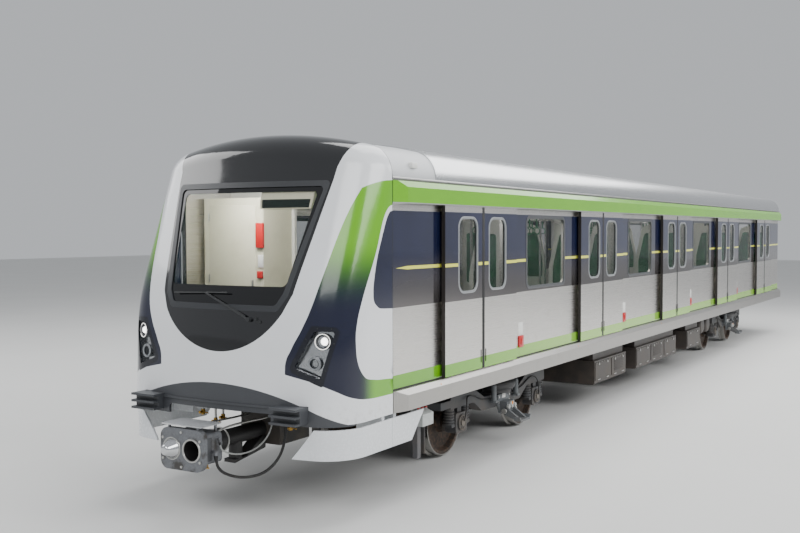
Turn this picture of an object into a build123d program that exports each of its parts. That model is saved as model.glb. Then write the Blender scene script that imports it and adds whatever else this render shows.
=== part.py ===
from build123d import *
import math
import os

# Front car of a two-car metro train, millimetres, +Z up, nose toward -Y.
# The origin is midway along the car, on its middle plane, level with the wheel flanges' lowest points.

os.makedirs("parts", exist_ok=True)

# Overall sizes
FACE_LENGTH = 22170       # front coupler face to the middle of the drawbar behind the car
CONE_REACH = 110          # how far the coupler's cone stands ahead of its face
HEIGHT = 3798             # roof crown above the flanges' lowest points
ROOF_HALF = 1420          # straight side of the roof's edge
PANEL_HALF = 1400         # outer face of the side panels
COVER_HALF = 1490         # outer face of the door header and the side sill, the widest places
SEAM_FROM_FACE = 1480     # coupler face to the joint between nose and body
BODY_END_FROM_REAR = 370
Y_REAR = (FACE_LENGTH + CONE_REACH) / 2
Y_FACE = -Y_REAR + CONE_REACH
Y_SEAM = Y_FACE + SEAM_FROM_FACE
Y_BODY_END = Y_REAR - BODY_END_FROM_REAR
FIT = 0.3                 # between a piece and the seat that holds it
CUT = 5                   # how far a cutting block runs past what it cuts

# Floor, walls and roof
FLOOR_TOP = 1180
FLOOR_THICK = 110
WALL_THICK = 60
WALL_TOP = 3330
WALL_IN = PANEL_HALF - WALL_THICK
FLOOR_LOW = FLOOR_TOP - FLOOR_THICK
SHOULDER_RADIUS = 330
SHOULDER_Z = 3340
ROOF_THICK = 70
ROOF_STEP = (920, 12)     # the roof's lower front panel: its length behind the seam, and the step up after it
RIB = (22, 70)            # roof ribs: width, and the groove between two of them
RIB_GROOVES = 11          # on each side of the middle
RIB_DEPTH = 10

# Doors
DOORS = 5                 # door pairs on each side
FIRST_PAIR_FROM_FACE = 3420
LAST_PAIR_FROM_REAR = 2550
LEAF_WIDTH = 920
LEAF_THICK = 46
LEAF_BOTTOM = 1182
LEAF_TOP = 3120
LEAF_SEAM = 8             # between the two closed leaves
LEAF_OFF_PANEL = 28       # between a leaf and the side panel behind it
LEAF_WINDOW = (476, 862)  # width and height
LEAF_WINDOW_CORNER = 130
LEAF_WINDOW_FROM_SEAM = 140
LEAF_WINDOW_Z = 2084
LEAF_GLASS = (14, 8)      # set back from the leaf's face, and thickness
LEAF_SLOT = (26, 150, 10, 1250)    # finger slot: wide, high, deep, and its lower end's height
LEAF_SLOT_FROM_SEAM = 60
DOORWAY_WIDTH = 1400
DOORWAY_TOP = 3080
LEAF_IN = PANEL_HALF + LEAF_OFF_PANEL
LEAF_OUT = LEAF_IN + LEAF_THICK
pair_first = Y_FACE + FIRST_PAIR_FROM_FACE
DOOR_PITCH = (Y_REAR - LAST_PAIR_FROM_REAR - pair_first) / (DOORS - 1)
pair_mid = [pair_first + k * DOOR_PITCH for k in range(DOORS)]
panel_mid = [y + DOOR_PITCH / 2 for y in pair_mid[:-1]]

# Body windows
SIDE_WINDOW = (1320, 950)
SIDE_WINDOW_Z = 2032
SIDE_WINDOW_CORNER = 100
SIDE_GLASS = (8, 10)      # set back from the panel's face, and thickness

# Door header and side sill, which run the whole body
HEADER_Z = (3066, 3235, 3296)    # lower edge, start of the bevel, top of the bevel
HEADER_WALL = 5
HEADER_BEVEL = 34
SILL_Z = (948, 1108, 1166)       # lower edge, start of the bevel, top of the bevel
SILL_BEVEL = 42
COVER_GAP = 6                    # to the nose and to the body's end
COVER_TAPER = 210                # length over which both widen from the nose's side to their full width

# Hanging rail of the doors and the leaves' hooks
RAIL = (40, 30)           # thick and high
RAIL_TOP = 3160
RAIL_FROM_TAPER = 40
HANGER = (80, 14, 25)     # hook: wide, thick, and its height above the rail's top
HANGER_PLACES = (150, 690)       # from the leaf's front edge
HANGER_OFF_WALL = 5

# Underframe
SOLE_BAR = 60
BEARERS = (16, 90, 70)           # count, width and depth below the floor
BEARER_ENDS = (1500, 1510)       # first one behind the seam, last one ahead of the body's end
BOLSTER = (620, 92)              # length along the car and depth
LIFT_PAD = (320, 24)             # length and thickness, under the sole bar at each bolster's end
CAB_FLOOR = (800, 1150)          # reach ahead of the seam and half width
SKIRT_HANGER_IN = 1100           # where the skirts' brackets end, inside the car
SKIRT_HANGER_HALF = 200          # length of the beam over them, each side of the seam

# Running gear
FLANGE_RADIUS = 453
TREAD_RADIUS = 425
TREAD_CONING = 3
WHEEL_INNER = 679         # half the distance between the wheels' backs
WHEEL_WIDTH = 135
FLANGE_WIDTH = 36
RIM_THICK = 55
WEB_THICK = 34
HUB = (130, 160)          # radius and width of the wheel's hub
WHEELBASE = 2250
FRONT_PIVOT_FROM_FACE = 4780
REAR_PIVOT_FROM_REAR = 4890
AXLE_RADIUS = 85
JOURNAL_RADIUS = 62
AXLEBOX = (150, 290, 250)        # along X, Y and Z
AXLEBOX_IN = 905
AXLE_Z = FLANGE_RADIUS
AXLEBOX_COVER = (98, 18)         # radius and thickness
BOX_WING = (230, 34)             # reach of the axlebox's spring wings past its middle, and thickness
PRIMARY_SPRING = (88, 66)        # lower and upper radius
BEAM_IN = 905
BEAM_WIDE = 150
BEAM_END = 1400                  # from the pivot to the end of the side beam
BEAM_MIDDLE = (500, 670)         # height of the side beam between the wheels
BEAM_RAISED = (650, 790)         # height of the side beam over the axleboxes
BEAM_DIP = (560, 800)            # from the pivot, where the beam starts to rise and where it is raised
TRANSOM_RADIUS = 82
TRANSOM_FROM_PIVOT = 250
TRANSOM_Z = 585
SPRING_RADIUS = 250
SPRING_X = 980
SPRING_CLEAR = 5                 # under the bolster, which it turns beneath
SPRING_PLATE = 24
SPRING_FOOT = (190, 50)          # radius and height
PIN_RADIUS = 60                  # centre pin, which hangs from the bolster into the bogie's centre block
PIN_LOW = 530
CENTRE_BLOCK = (400, 400, 190)   # across, along and high
MOTOR = (205, 600)               # radius and length
MOTOR_FROM_PIVOT = 560
MOTOR_Z = 520
GEAR_CASE = (150, 205)           # width and radius round the axle
GEAR_CASE_X = 360
AXLE_CLEAR = 6                   # between the axle and the gear case round it
BRAKE_SHOE = (70, 90, 200)       # thick, wide and high
SHOE_CLEAR = 9                   # to the tread
GUARD = (1640, 140, 30)          # rail guard ahead of the leading wheels: from the pivot, its foot, thickness
GUARD_X = (705, 825)
SHOE_GEAR_X = (1055, 1400)       # current collector, from the side beam out to the shoe's edge
SHOE_GEAR_Z = 330
SHOE_GEAR_PLATE = (360, 30)      # bracket's length and thickness

Y_PIVOTS = {"front": Y_FACE + FRONT_PIVOT_FROM_FACE, "rear": Y_REAR - REAR_PIVOT_FROM_REAR}

# Nose form: a plan outline lofted up a raked profile, then rounded into the crown all round its top
NOSE_WALL = 28
NOSE_HALF = 1440
FRONT_RADIUS = 6000
CORNER_RADIUS = 420
NOSE_BACK = 600                  # how far the form runs behind the seam before it is cut
NOSE_PROFILE = (
    # height, how far the front stands ahead of the seam
    (560, 1015),
    (2020, 965),
    (3900, 286),
)
NOSE_BEND = 2000                 # radius between the upright chin and the raked windscreen
NOSE_HEIGHTS = (560, 900, 1300, 1700, 2020, 2340, 2700, 3100, 3500, 3900)    # of the loft's sections
Y_FRONT = Y_FACE + 280           # a plane ahead of the whole nose form

# Nose panels, half widths and heights seen from the front
CAP_BOTTOM = 1598
CAP_EDGE = ((752, 2000), (838, 2180), (1018, 3300), (1030, 3420), (1120, 3680))
MASK_EDGE = (950, 1287, 1380)    # height at the sides, height in the middle, half width of the arch
SCREEN_OPENING = (
    # half width, height, corner radius
    (690, 2008, 60),
    (790, 2160, 100),
    (995, 3290, 45),
)
SCREEN_FRAME = (58, 12)          # width and thickness
SCREEN_GLASS = 14
LAMP_OUTLINE = (
    # x, z, corner radius
    (1070, 1890, 30),
    (1335, 1879, 60),
    (1195, 1308, 18),
    (835, 1453, 60),
)
LAMP_WINDOW = (
    # x, z, corner radius of the bezel's opening
    (1105, 1838, 20),
    (1290, 1840, 28),
    (1170, 1388, 14),
    (900, 1482, 30),
)
LAMP_DEPTH = 80
LAMP_LENS = (10, 8)              # set back from the nose's face, and thickness
LAMP_BOWLS = (
    # x, z, radius, wall
    (1170, 1739, 78, 14),
    (1094, 1529, 70, 22),
)
LAMP_BOWL_FRONT = 34             # set back from the nose's face
VALANCE_LOW = 932
VALANCE_HALF = 1400
LEDGE = (1086, 1108, 16)         # lower and upper edge, and how far it stands proud
COUPLER_RECESS = (660, 1030)     # half width and top
RECESS_CORNER = 40
CLIMBER = ((745, 1060), (962, 1122))   # across the car and in height
CLIMBER_FRONT = 1105                   # ahead of the seam
CLIMBER_PLATE = 70                     # from the ribs' front to the plate behind them
CLIMBER_BACK = 860                     # ahead of the seam
CLIMBER_GAP = 4                        # to the mask's edge
CLIMBER_RIB = 22
CLIMBER_RIBS = 3
SKIRT_Z = (610, 900)
SKIRT_SET_BACK = 12
SKIRT_WALL = 25
SKIRT_END = (640, 380)                 # behind the seam, along its top and along its bottom
SKIRT_FRONT = ((1190, 1000), (860, 590))    # slanted front edge seen from the front
SKIRT_BRACKET = 50
SKIRT_BRACKET_Z = 760
SKIRT_BRACKET_FROM_SEAM = (60, -160)
SKIRT_JOINT = (5, 8)                   # width and depth of the joint between the skirt's two panels


def span(x0, x1, y0, y1, z0, z1):
    """Box between two opposite corners."""
    return Pos((x0 + x1) / 2, (y0 + y1) / 2, (z0 + z1) / 2) * Box(abs(x1 - x0), abs(y1 - y0), abs(z1 - z0))


def other_side(solid):
    """The same piece on the left side."""
    return mirror(solid, about=Plane.YZ)


def write(name, *solids):
    """One STEP file for one piece, of one solid or of several that stand apart."""
    found = [s for part in solids for s in part.solids()]
    export_step(found[0] if len(found) == 1 else Compound(children=found), f"parts/{name}.step")


def rod(start, end, radius):
    """Round bar between two points."""
    a, b = Vector(*start), Vector(*end)
    return Plane(origin=a, z_dir=b - a) * Cylinder(radius, (b - a).length,
                                                   align=(Align.CENTER, Align.CENTER, Align.MIN))


def prism(corners, along, start, end):
    """Prism on a closed outline whose corners are (u, v) or (u, v, radius), extruded along X, Y or Z.

    u and v are the two other axes in alphabetical order.
    """
    def place(u, v):
        return {"X": (start, u, v), "Y": (u, start, v), "Z": (u, v, start)}[along]

    rounds = []
    for i, corner in enumerate(corners):
        here = Vector(corner[0], corner[1])
        radius = corner[2] if len(corner) > 2 else 0
        before = Vector(*corners[i - 1][:2])
        after = Vector(*corners[(i + 1) % len(corners)][:2])
        to_before, to_after = (before - here).normalized(), (after - here).normalized()
        half = math.radians(to_before.get_angle(to_after)) / 2
        reach = radius / math.tan(half)
        inward = (to_before + to_after).normalized()
        rounds.append((here + to_before * reach, here + inward * (radius / math.sin(half) - radius),
                       here + to_after * reach, radius))
    edges = []
    for i, (first, bend, last, radius) in enumerate(rounds):
        if radius > 0:
            edges.append(ThreePointArc(place(first.X, first.Y), place(bend.X, bend.Y), place(last.X, last.Y)))
        following = rounds[(i + 1) % len(rounds)][0]
        if (following - last).length > 1e-6:
            edges.append(Line(place(last.X, last.Y), place(following.X, following.Y)))
    direction = {"X": (1, 0, 0), "Y": (0, 1, 0), "Z": (0, 0, 1)}[along]
    return extrude(make_face(Wire(edges)), amount=end - start, dir=direction)


def rounded_block(width, height, radius, x0, x1):
    """Rounded window opening as a block across the wall, its middle at y = z = 0."""
    block = span(x0, x1, -width / 2, width / 2, -height / 2, height / 2)
    return fillet(block.edges().filter_by(Axis.X), radius)


def roof_section(half, inset, z_low, y):
    """Cross-section of the car at one place along it: straight sides, shoulders and a flat crown arc."""
    kx = half - SHOULDER_RADIUS
    drop = HEIGHT - SHOULDER_Z - SHOULDER_RADIUS
    lean = math.asin(kx / ((kx ** 2 + drop ** 2) / (2 * drop)))
    r = SHOULDER_RADIUS - inset
    meet = (kx + r * math.sin(lean), SHOULDER_Z + r * math.cos(lean))
    mid = lean + (math.pi / 2 - lean) / 2
    bend = (kx + r * math.sin(mid), SHOULDER_Z + r * math.cos(mid))
    side = (half - inset, SHOULDER_Z)
    low = (half - inset, z_low)

    def at(p, s=1):
        return (s * p[0], y, p[1])
    return make_face(Wire([
        Line(at(low), at(side)),
        ThreePointArc(at(side), at(bend), at(meet)),
        ThreePointArc(at(meet), (0, y, HEIGHT - inset), at(meet, -1)),
        ThreePointArc(at(meet, -1), at(bend, -1), at(side, -1)),
        Line(at(side, -1), at(low, -1)),
        Line(at(low, -1), at(low)),
    ]))


def roof_block(half, inset, z_low, y0, y1):
    """Solid with the roof's cross-section, drawn in by an inset."""
    return extrude(roof_section(half, inset, z_low, y0), amount=y1 - y0, dir=(0, 1, 0))


def nose_plan(height, ahead, inset):
    """Closed plan outline of the nose at one height, with its back behind the seam."""
    back = Y_SEAM + NOSE_BACK
    front = Y_SEAM - ahead + inset
    half, corner, radius = NOSE_HALF - inset, CORNER_RADIUS - inset, FRONT_RADIUS - inset
    kx = half - corner
    ky = front + radius - math.sqrt((radius - corner) ** 2 - kx ** 2)
    lean = math.asin(kx / (radius - corner))
    touch = (kx + corner * math.sin(lean), ky - corner * math.cos(lean))
    mid = (lean + math.pi / 2) / 2
    bend = (kx + corner * math.sin(mid), ky - corner * math.cos(mid))
    shoulder = (half, ky)

    def at(p, s=1):
        return (s * p[0], p[1], height)
    return Wire([
        Line(at((half, back)), at(shoulder)),
        ThreePointArc(at(shoulder), at(bend), at(touch)),
        ThreePointArc(at(touch), (0, front, height), at(touch, -1)),
        ThreePointArc(at(touch, -1), at(bend, -1), at(shoulder, -1)),
        Line(at(shoulder, -1), at((half, back), -1)),
        Line(at((half, back), -1), at((half, back))),
    ])


def nose_ahead(height):
    """How far the nose's front stands ahead of the seam at one height: chin, bend and windscreen rake."""
    (z0, a0), (z1, a1), (z2, a2) = NOSE_PROFILE
    chin, rake = (a1 - a0) / (z1 - z0), (a2 - a1) / (z2 - z1)
    half_turn = (math.atan(chin) - math.atan(rake)) / 2
    reach = NOSE_BEND * math.tan(half_turn)
    start, end = z1 - reach * math.cos(math.atan(chin)), z1 + reach * math.cos(math.atan(rake))
    if height <= start:
        return a1 + (height - z1) * chin
    if height >= end:
        return a1 + (height - z1) * rake
    centre_z = start + NOSE_BEND * math.sin(math.atan(chin))
    centre_a = a1 + (start - z1) * chin - NOSE_BEND * math.cos(math.atan(chin))
    return centre_a + math.sqrt(NOSE_BEND ** 2 - (height - centre_z) ** 2)


def nose_form(inset):
    """Solid form of the nose, drawn in by a wall thickness, its top rounded all the way round."""
    lofted = Solid.make_loft([nose_plan(z, nose_ahead(z), inset) for z in NOSE_HEIGHTS], ruled=False)
    back = Y_SEAM + NOSE_BACK
    wide = NOSE_HALF + CUT
    kx = NOSE_HALF - SHOULDER_RADIUS
    drop = HEIGHT - SHOULDER_Z - SHOULDER_RADIUS
    crown = (kx ** 2 + drop ** 2) / (2 * drop) + SHOULDER_RADIUS
    edge_z = HEIGHT - crown + math.sqrt((crown - inset) ** 2 - wide ** 2)
    low = SKIRT_Z[0] - 200

    def at(x, z):
        return (x, Y_FRONT, z)
    section = make_face(Wire([
        Line(at(-wide, low), at(wide, low)),
        Line(at(wide, low), at(wide, edge_z)),
        ThreePointArc(at(wide, edge_z), at(0, HEIGHT - inset), at(-wide, edge_z)),
        Line(at(-wide, edge_z), at(-wide, low)),
    ]))
    block = lofted & extrude(section, amount=back - Y_FRONT, dir=(0, 1, 0))
    top = block.faces().sort_by(Axis.Z)[-1]
    return fillet([edge for edge in top.edges() if edge.center().Y < back - 1], SHOULDER_RADIUS - inset)


def both_halves(corners):
    """A closed outline from the corners of its right half, given from its lowest to its highest."""
    return [*corners, *[(-c[0], *c[1:]) for c in reversed(corners)]]


def screen_prism(grow):
    """Windscreen opening seen from the front, grown or drawn in all round."""
    low, hip, high = SCREEN_OPENING
    right = ((low[0] + grow / 2, low[1] - grow, low[2]), (hip[0] + grow, hip[1] - grow / 2, hip[2]),
             (high[0] + grow, high[1] + grow, high[2]))
    return prism(both_halves(right), "Y", Y_FRONT, Y_SEAM - 150)


def lamp_prism(outline, grow):
    """Headlamp outline of the right side seen from the front, grown or drawn in a little all round."""
    cx = sum(p[0] for p in outline) / len(outline)
    cz = sum(p[1] for p in outline) / len(outline)
    corners = [(x + math.copysign(1, x - cx) * grow, z + math.copysign(1, z - cz) * grow, radius)
               for x, z, radius in outline]
    return prism(corners, "Y", Y_FRONT, Y_SEAM - 250)


def cap_prism():
    """The brow panel's outline from the front: a U round the windscreen, open to the roof."""
    low = (0, CAP_BOTTOM)
    chin = CAP_EDGE[0]
    above = (CAP_EDGE[-1][0], HEIGHT + 50)
    sides = list(zip(CAP_EDGE, (*CAP_EDGE[1:], above)))

    def at(p, s=1):
        return (s * p[0], Y_FRONT, p[1])
    right = [Line(at(a), at(b)) for a, b in sides]
    left = [Line(at(b, -1), at(a, -1)) for a, b in reversed(sides)]
    face = make_face(Wire([ThreePointArc(at(chin, -1), at(low), at(chin)), *right,
                           Line(at(above), at(above, -1)), *left]))
    return extrude(face, amount=Y_SEAM + NOSE_BACK - Y_FRONT, dir=(0, 1, 0))


def mask_edge_prism():
    """All that lies under the white mask's arched lower edge."""
    side_z, middle_z, half = MASK_EDGE
    wide, low = NOSE_HALF + 100, SKIRT_Z[0] - 300

    def at(x, z):
        return (x, Y_FRONT, z)
    face = make_face(Wire([
        Line(at(-wide, low), at(wide, low)),
        Line(at(wide, low), at(wide, side_z)),
        Line(at(wide, side_z), at(half, side_z)),
        ThreePointArc(at(half, side_z), at(0, middle_z), at(-half, side_z)),
        Line(at(-half, side_z), at(-wide, side_z)),
        Line(at(-wide, side_z), at(-wide, low)),
    ]))
    return extrude(face, amount=Y_SEAM + NOSE_BACK - Y_FRONT, dir=(0, 1, 0))


# Nose shell, split into mask and cap
outer_form = nose_form(0)
inner_form = nose_form(NOSE_WALL)
nose_room = span(-NOSE_HALF - 100, NOSE_HALF + 100, Y_FRONT, Y_SEAM, SKIRT_Z[0] - 200, HEIGHT + 10)
shell = (outer_form - inner_form) & nose_room
under_mask = mask_edge_prism()
cap_area = cap_prism()
upper = shell - under_mask
lamp_hole = lamp_prism(LAMP_OUTLINE, 0)
(climber_in, climber_out), (climber_low, climber_high) = CLIMBER
climber_y = Y_SEAM - CLIMBER_FRONT
mask = upper - cap_area - lamp_hole - other_side(lamp_hole)
for side in (1, -1):
    mask = mask - span(side * (climber_in - CLIMBER_GAP), side * (climber_out + CLIMBER_GAP),
                       climber_y, Y_SEAM - CLIMBER_BACK, climber_low, climber_high + CLIMBER_GAP)
write("nose_mask", mask)
write("nose_cap", (upper & cap_area) - screen_prism(0))

# Windscreen, its frame and its wiper
frame_wide, frame_thick = SCREEN_FRAME
behind_frame = nose_form(frame_thick)
frame_ring = (outer_form - behind_frame) & (screen_prism(-FIT) - screen_prism(-frame_wide))
write("windscreen_frame", frame_ring)
glass_front = nose_form(frame_thick + FIT)
write("windscreen", (glass_front - nose_form(frame_thick + FIT + SCREEN_GLASS)) & screen_prism(-FIT))


def on_nose(x, z, proud):
    """Point on the raked front at a place seen from ahead, or proud of it."""
    return (x, Y_SEAM - nose_ahead(z) + FRONT_RADIUS - math.sqrt(FRONT_RADIUS ** 2 - x ** 2) - proud, z)


WIPER_PIVOT = (389, 1930)
WIPER_REACH = (-190, 2170)        # where the arm carries the blade
WIPER_BLADE = ((-640, 2160), (92, 2180))
WIPER_PROUD = 26
WIPER_ARM_RADIUS = 9
WIPER_BLADE_RADIUS = 7
WIPER_PIVOT_RADIUS = 22
wiper = rod(on_nose(*WIPER_PIVOT, -CUT), on_nose(*WIPER_PIVOT, WIPER_PROUD + WIPER_ARM_RADIUS),
            WIPER_PIVOT_RADIUS)
wiper = wiper + rod(on_nose(*WIPER_PIVOT, WIPER_PROUD), on_nose(*WIPER_REACH, WIPER_PROUD), WIPER_ARM_RADIUS)
wiper = wiper + rod(on_nose(*WIPER_BLADE[0], WIPER_PROUD), on_nose(*WIPER_BLADE[1], WIPER_PROUD),
                    WIPER_BLADE_RADIUS)
write("windscreen_wiper", wiper - outer_form)

# Headlamps: bezel with back plate and two bowls, and the lens over them
lens_back, lens_thick = LAMP_LENS
lamp_inside = nose_form(LAMP_DEPTH)
lamp_seat = lamp_prism(LAMP_OUTLINE, -FIT)
bezel = (outer_form - lamp_inside) & (lamp_seat - lamp_prism(LAMP_WINDOW, 0))
lamp_unit = bezel + ((lamp_inside - nose_form(LAMP_DEPTH + SCREEN_GLASS)) & lamp_seat)
bowl_room = nose_form(LAMP_BOWL_FRONT) - nose_form(LAMP_DEPTH + CUT)
for x, z, radius, wall in LAMP_BOWLS:
    tube = rod((x, Y_FRONT, z), (x, Y_SEAM, z), radius) - rod((x, Y_FRONT, z), (x, Y_SEAM, z), radius - wall)
    lamp_unit = lamp_unit + (bowl_room & tube)
lens = (nose_form(lens_back) - nose_form(lens_back + lens_thick)) & lamp_prism(LAMP_WINDOW, -FIT)
write("headlamps", lamp_unit, other_side(lamp_unit), lens, other_side(lens))

# Valance with its ledge and the ribbed anti-climbers
recess_half, recess_top = COUPLER_RECESS
low_zone = span(-VALANCE_HALF, VALANCE_HALF, Y_FRONT, Y_SEAM - 200, VALANCE_LOW, MASK_EDGE[1] + 10)
recess = prism(((-recess_half, VALANCE_LOW - 100), (recess_half, VALANCE_LOW - 100),
                (recess_half, recess_top, RECESS_CORNER), (-recess_half, recess_top, RECESS_CORNER)),
               "Y", Y_FRONT, Y_SEAM - 400)
valance = ((shell & low_zone) & under_mask) - recess
ledge_low, ledge_high, ledge_proud = LEDGE
ledge = (nose_form(-ledge_proud) - nose_form(NOSE_WALL / 2)) & span(
    -climber_in - CUT, climber_in + CUT, Y_FRONT, Y_SEAM - 400, ledge_low, ledge_high)
valance = valance + ledge
for side in (1, -1):
    x0, x1 = side * climber_in, side * climber_out
    valance = valance + span(x0, x1, climber_y + CLIMBER_PLATE, Y_SEAM - CLIMBER_BACK,
                             climber_low, climber_high)
    for row in range(CLIMBER_RIBS):
        z = climber_low + row * (climber_high - climber_low - CLIMBER_RIB) / (CLIMBER_RIBS - 1)
        valance = valance + span(x0, x1, climber_y, climber_y + CLIMBER_PLATE, z, z + CLIMBER_RIB)
write("front_valance", valance)

# Skirts under the mask
skirt_out = NOSE_HALF - SKIRT_SET_BACK
skirt_in = skirt_out - SKIRT_WALL
skirt_low, skirt_high = SKIRT_Z
ring = (nose_form(SKIRT_SET_BACK) - nose_form(SKIRT_SET_BACK + SKIRT_WALL)) & span(
    0, skirt_out + CUT, Y_FRONT, Y_SEAM, skirt_low, skirt_high)
tail = prism(((Y_SEAM, skirt_low), (Y_SEAM + SKIRT_END[1], skirt_low), (Y_SEAM + SKIRT_END[0], skirt_high),
              (Y_SEAM, skirt_high)), "X", skirt_in, skirt_out)
(slant_x_high, slant_z_high), (slant_x_low, slant_z_low) = SKIRT_FRONT
slant = prism(((-CUT, skirt_low - 200), (-CUT, slant_z_high), (slant_x_high, slant_z_high),
               (slant_x_low, slant_z_low), (slant_x_low, skirt_low - 200)), "Y", Y_FRONT, Y_SEAM)
joint_wide, joint_deep = SKIRT_JOINT
skirt = ((ring - slant) + tail) - span(skirt_out - joint_deep, skirt_out + CUT, Y_SEAM - joint_wide / 2,
                                       Y_SEAM + joint_wide / 2, skirt_low - CUT, skirt_high + CUT)
for from_seam in SKIRT_BRACKET_FROM_SEAM:
    bracket_y = Y_SEAM + from_seam
    skirt = skirt + span(SKIRT_HANGER_IN, skirt_in + 1, bracket_y, bracket_y + SKIRT_BRACKET,
                         SKIRT_BRACKET_Z, SILL_Z[0])
write("front_skirts", skirt, other_side(skirt))

# Sockets of the hose and the cable: x, distance behind the coupler's face and lower end, and radius
SOCKETS = {
    "floor": (((600, 830, 1000), 20), ((430, 830, 1010), 14)),
    "head": (((275, 170, 655), 20), ((262, 240, 770), 14)),
}
SOCKET_HIGH = 44

# Underframe: floor, sole bars, bearers, bolsters with their centre pins, and the draft boxes
COUPLER_Z = 715
COUPLER_PIVOT = Y_FACE + 1150
DRAFT_BOX = (520, 500, 150)      # wide, long, and its reach below the coupler's axis
DRAWBAR_PIVOT = Y_BODY_END - 560
sole_in = PANEL_HALF - SOLE_BAR
bolster_low = FLOOR_LOW - BOLSTER[1]
cab_ahead, cab_half = CAB_FLOOR
floor = span(-sole_in, sole_in, Y_SEAM, Y_BODY_END, FLOOR_LOW, FLOOR_TOP)
floor = floor + span(-cab_half, cab_half, Y_SEAM - cab_ahead, Y_SEAM, FLOOR_LOW, FLOOR_TOP)
for side in (1, -1):
    floor = floor + span(side * sole_in, side * PANEL_HALF, Y_SEAM, Y_BODY_END, SILL_Z[0], FLOOR_TOP)
    floor = floor + span(side * SKIRT_HANGER_IN, side * sole_in, Y_SEAM - SKIRT_HANGER_HALF,
                         Y_SEAM + SKIRT_HANGER_HALF, SILL_Z[0], FLOOR_LOW)
bearer_first = Y_SEAM + BEARER_ENDS[0]
bearer_last = Y_BODY_END - BEARER_ENDS[1]
for i in range(BEARERS[0]):
    y = bearer_first + i * (bearer_last - bearer_first) / (BEARERS[0] - 1)
    floor = floor + span(-sole_in, sole_in, y, y + BEARERS[1], FLOOR_LOW - BEARERS[2], FLOOR_LOW)
for y in Y_PIVOTS.values():
    floor = floor + span(-sole_in, sole_in, y - BOLSTER[0] / 2, y + BOLSTER[0] / 2, bolster_low, FLOOR_LOW)
    floor = floor + rod((0, y, PIN_LOW), (0, y, bolster_low + 1), PIN_RADIUS)
    for side in (1, -1):
        floor = floor + span(side * sole_in, side * PANEL_HALF, y - LIFT_PAD[0] / 2, y + LIFT_PAD[0] / 2,
                             SILL_Z[0] - LIFT_PAD[1], SILL_Z[0])
for y0 in (COUPLER_PIVOT, DRAWBAR_PIVOT - DRAFT_BOX[1]):
    floor = floor + span(-DRAFT_BOX[0] / 2, DRAFT_BOX[0] / 2, y0, y0 + DRAFT_BOX[1],
                         COUPLER_Z - DRAFT_BOX[2], FLOOR_LOW)
for (x, behind, z), radius in SOCKETS["floor"]:
    floor = floor + rod((x, Y_FACE + behind, z), (x, Y_FACE + behind, FLOOR_LOW + 1), radius)
write("floor_frame", floor)

# Coupler: face plate with cone and cup, head, tread plate, shank with its clamp, and hoses
HEAD = (470, 300, 300)           # wide, long and high
FACE_PLATE = (540, 60, 400)      # wide, thick and high
FACE_CORNER = 90
CONE = (125, 98, 42)             # from the middle, radius at the face and at the tip
CUP = (125, 102, 50, 150)        # from the middle, radius at the mouth and at its end, depth
SHANK_RADIUS = 85
CLAMP = (118, 110, 420)          # radius, length, and its distance behind the face
TREAD_PLATE = (500, 270, 12)     # wide, long and thick
TREAD_POSTS = (180, 14)          # from the middle, and radius
TREAD_RISE = 26                  # above the face plate
UNDER_SPRING = (70, 140, 760)    # radius, height, and its distance behind the face
ARM_FOOT = 90                    # half length of the seat under the spring
ARM_DEEP = 35
ARM_DROP = 60                    # where the arm ends, below the axis
plate_wide, plate_thick, plate_high = FACE_PLATE
plate = prism(both_halves(((plate_wide / 2, COUPLER_Z - plate_high / 2, FACE_CORNER),
                           (plate_wide / 2, COUPLER_Z + plate_high / 2, FACE_CORNER))),
              "Y", Y_FACE, Y_FACE + plate_thick)
head = prism(both_halves(((HEAD[0] / 2, COUPLER_Z - HEAD[2] / 2, FACE_CORNER / 2),
                          (HEAD[0] / 2, COUPLER_Z + HEAD[2] / 2, FACE_CORNER / 2))),
             "Y", Y_FACE + plate_thick - 1, Y_FACE + HEAD[1])
base = (Align.CENTER, Align.CENTER, Align.MIN)
cone = Cone(CONE[1], CONE[2], CONE_REACH + 1, align=base)
cone = Pos(-CONE[0], Y_FACE + 1, COUPLER_Z) * Rot(90, 0, 0) * cone
cone = fillet(cone.edges().sort_by(Axis.Y)[0], CONE[2] * 0.8)
cup = Pos(CUP[0], Y_FACE, COUPLER_Z) * Rot(-90, 0, 0) * Cone(CUP[1], CUP[2], CUP[3], align=base)
shank = rod((0, Y_FACE + HEAD[1] - 10, COUPLER_Z), (0, COUPLER_PIVOT, COUPLER_Z), SHANK_RADIUS)
clamp = rod((0, Y_FACE + CLAMP[2], COUPLER_Z), (0, Y_FACE + CLAMP[2] + CLAMP[1], COUPLER_Z), CLAMP[0])
tread_z = COUPLER_Z + plate_high / 2 + TREAD_RISE
tread = span(-TREAD_PLATE[0] / 2, TREAD_PLATE[0] / 2, Y_FACE - CLIMBER_GAP, Y_FACE + TREAD_PLATE[1],
             tread_z, tread_z + TREAD_PLATE[2])
posts = [rod((side * TREAD_POSTS[0], Y_FACE + y, COUPLER_Z), (side * TREAD_POSTS[0], Y_FACE + y, tread_z + 1),
             TREAD_POSTS[1]) for side in (1, -1) for y in (plate_thick / 2, HEAD[1] - plate_thick / 2)]
prop_y = Y_FACE + UNDER_SPRING[2]
prop = rod((0, prop_y, COUPLER_Z - SHANK_RADIUS - UNDER_SPRING[1]), (0, prop_y, COUPLER_Z), UNDER_SPRING[0])
arm_low = COUPLER_Z - SHANK_RADIUS - UNDER_SPRING[1]
arm = prism(((prop_y - ARM_FOOT, arm_low - ARM_DEEP), (COUPLER_PIVOT, arm_low + ARM_DEEP),
             (COUPLER_PIVOT, COUPLER_Z - ARM_DROP), (COUPLER_PIVOT - ARM_DROP, COUPLER_Z - ARM_DROP),
             (prop_y + ARM_FOOT, arm_low + 1), (prop_y - ARM_FOOT, arm_low + 1)),
            "X", -UNDER_SPRING[0], UNDER_SPRING[0])
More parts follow.
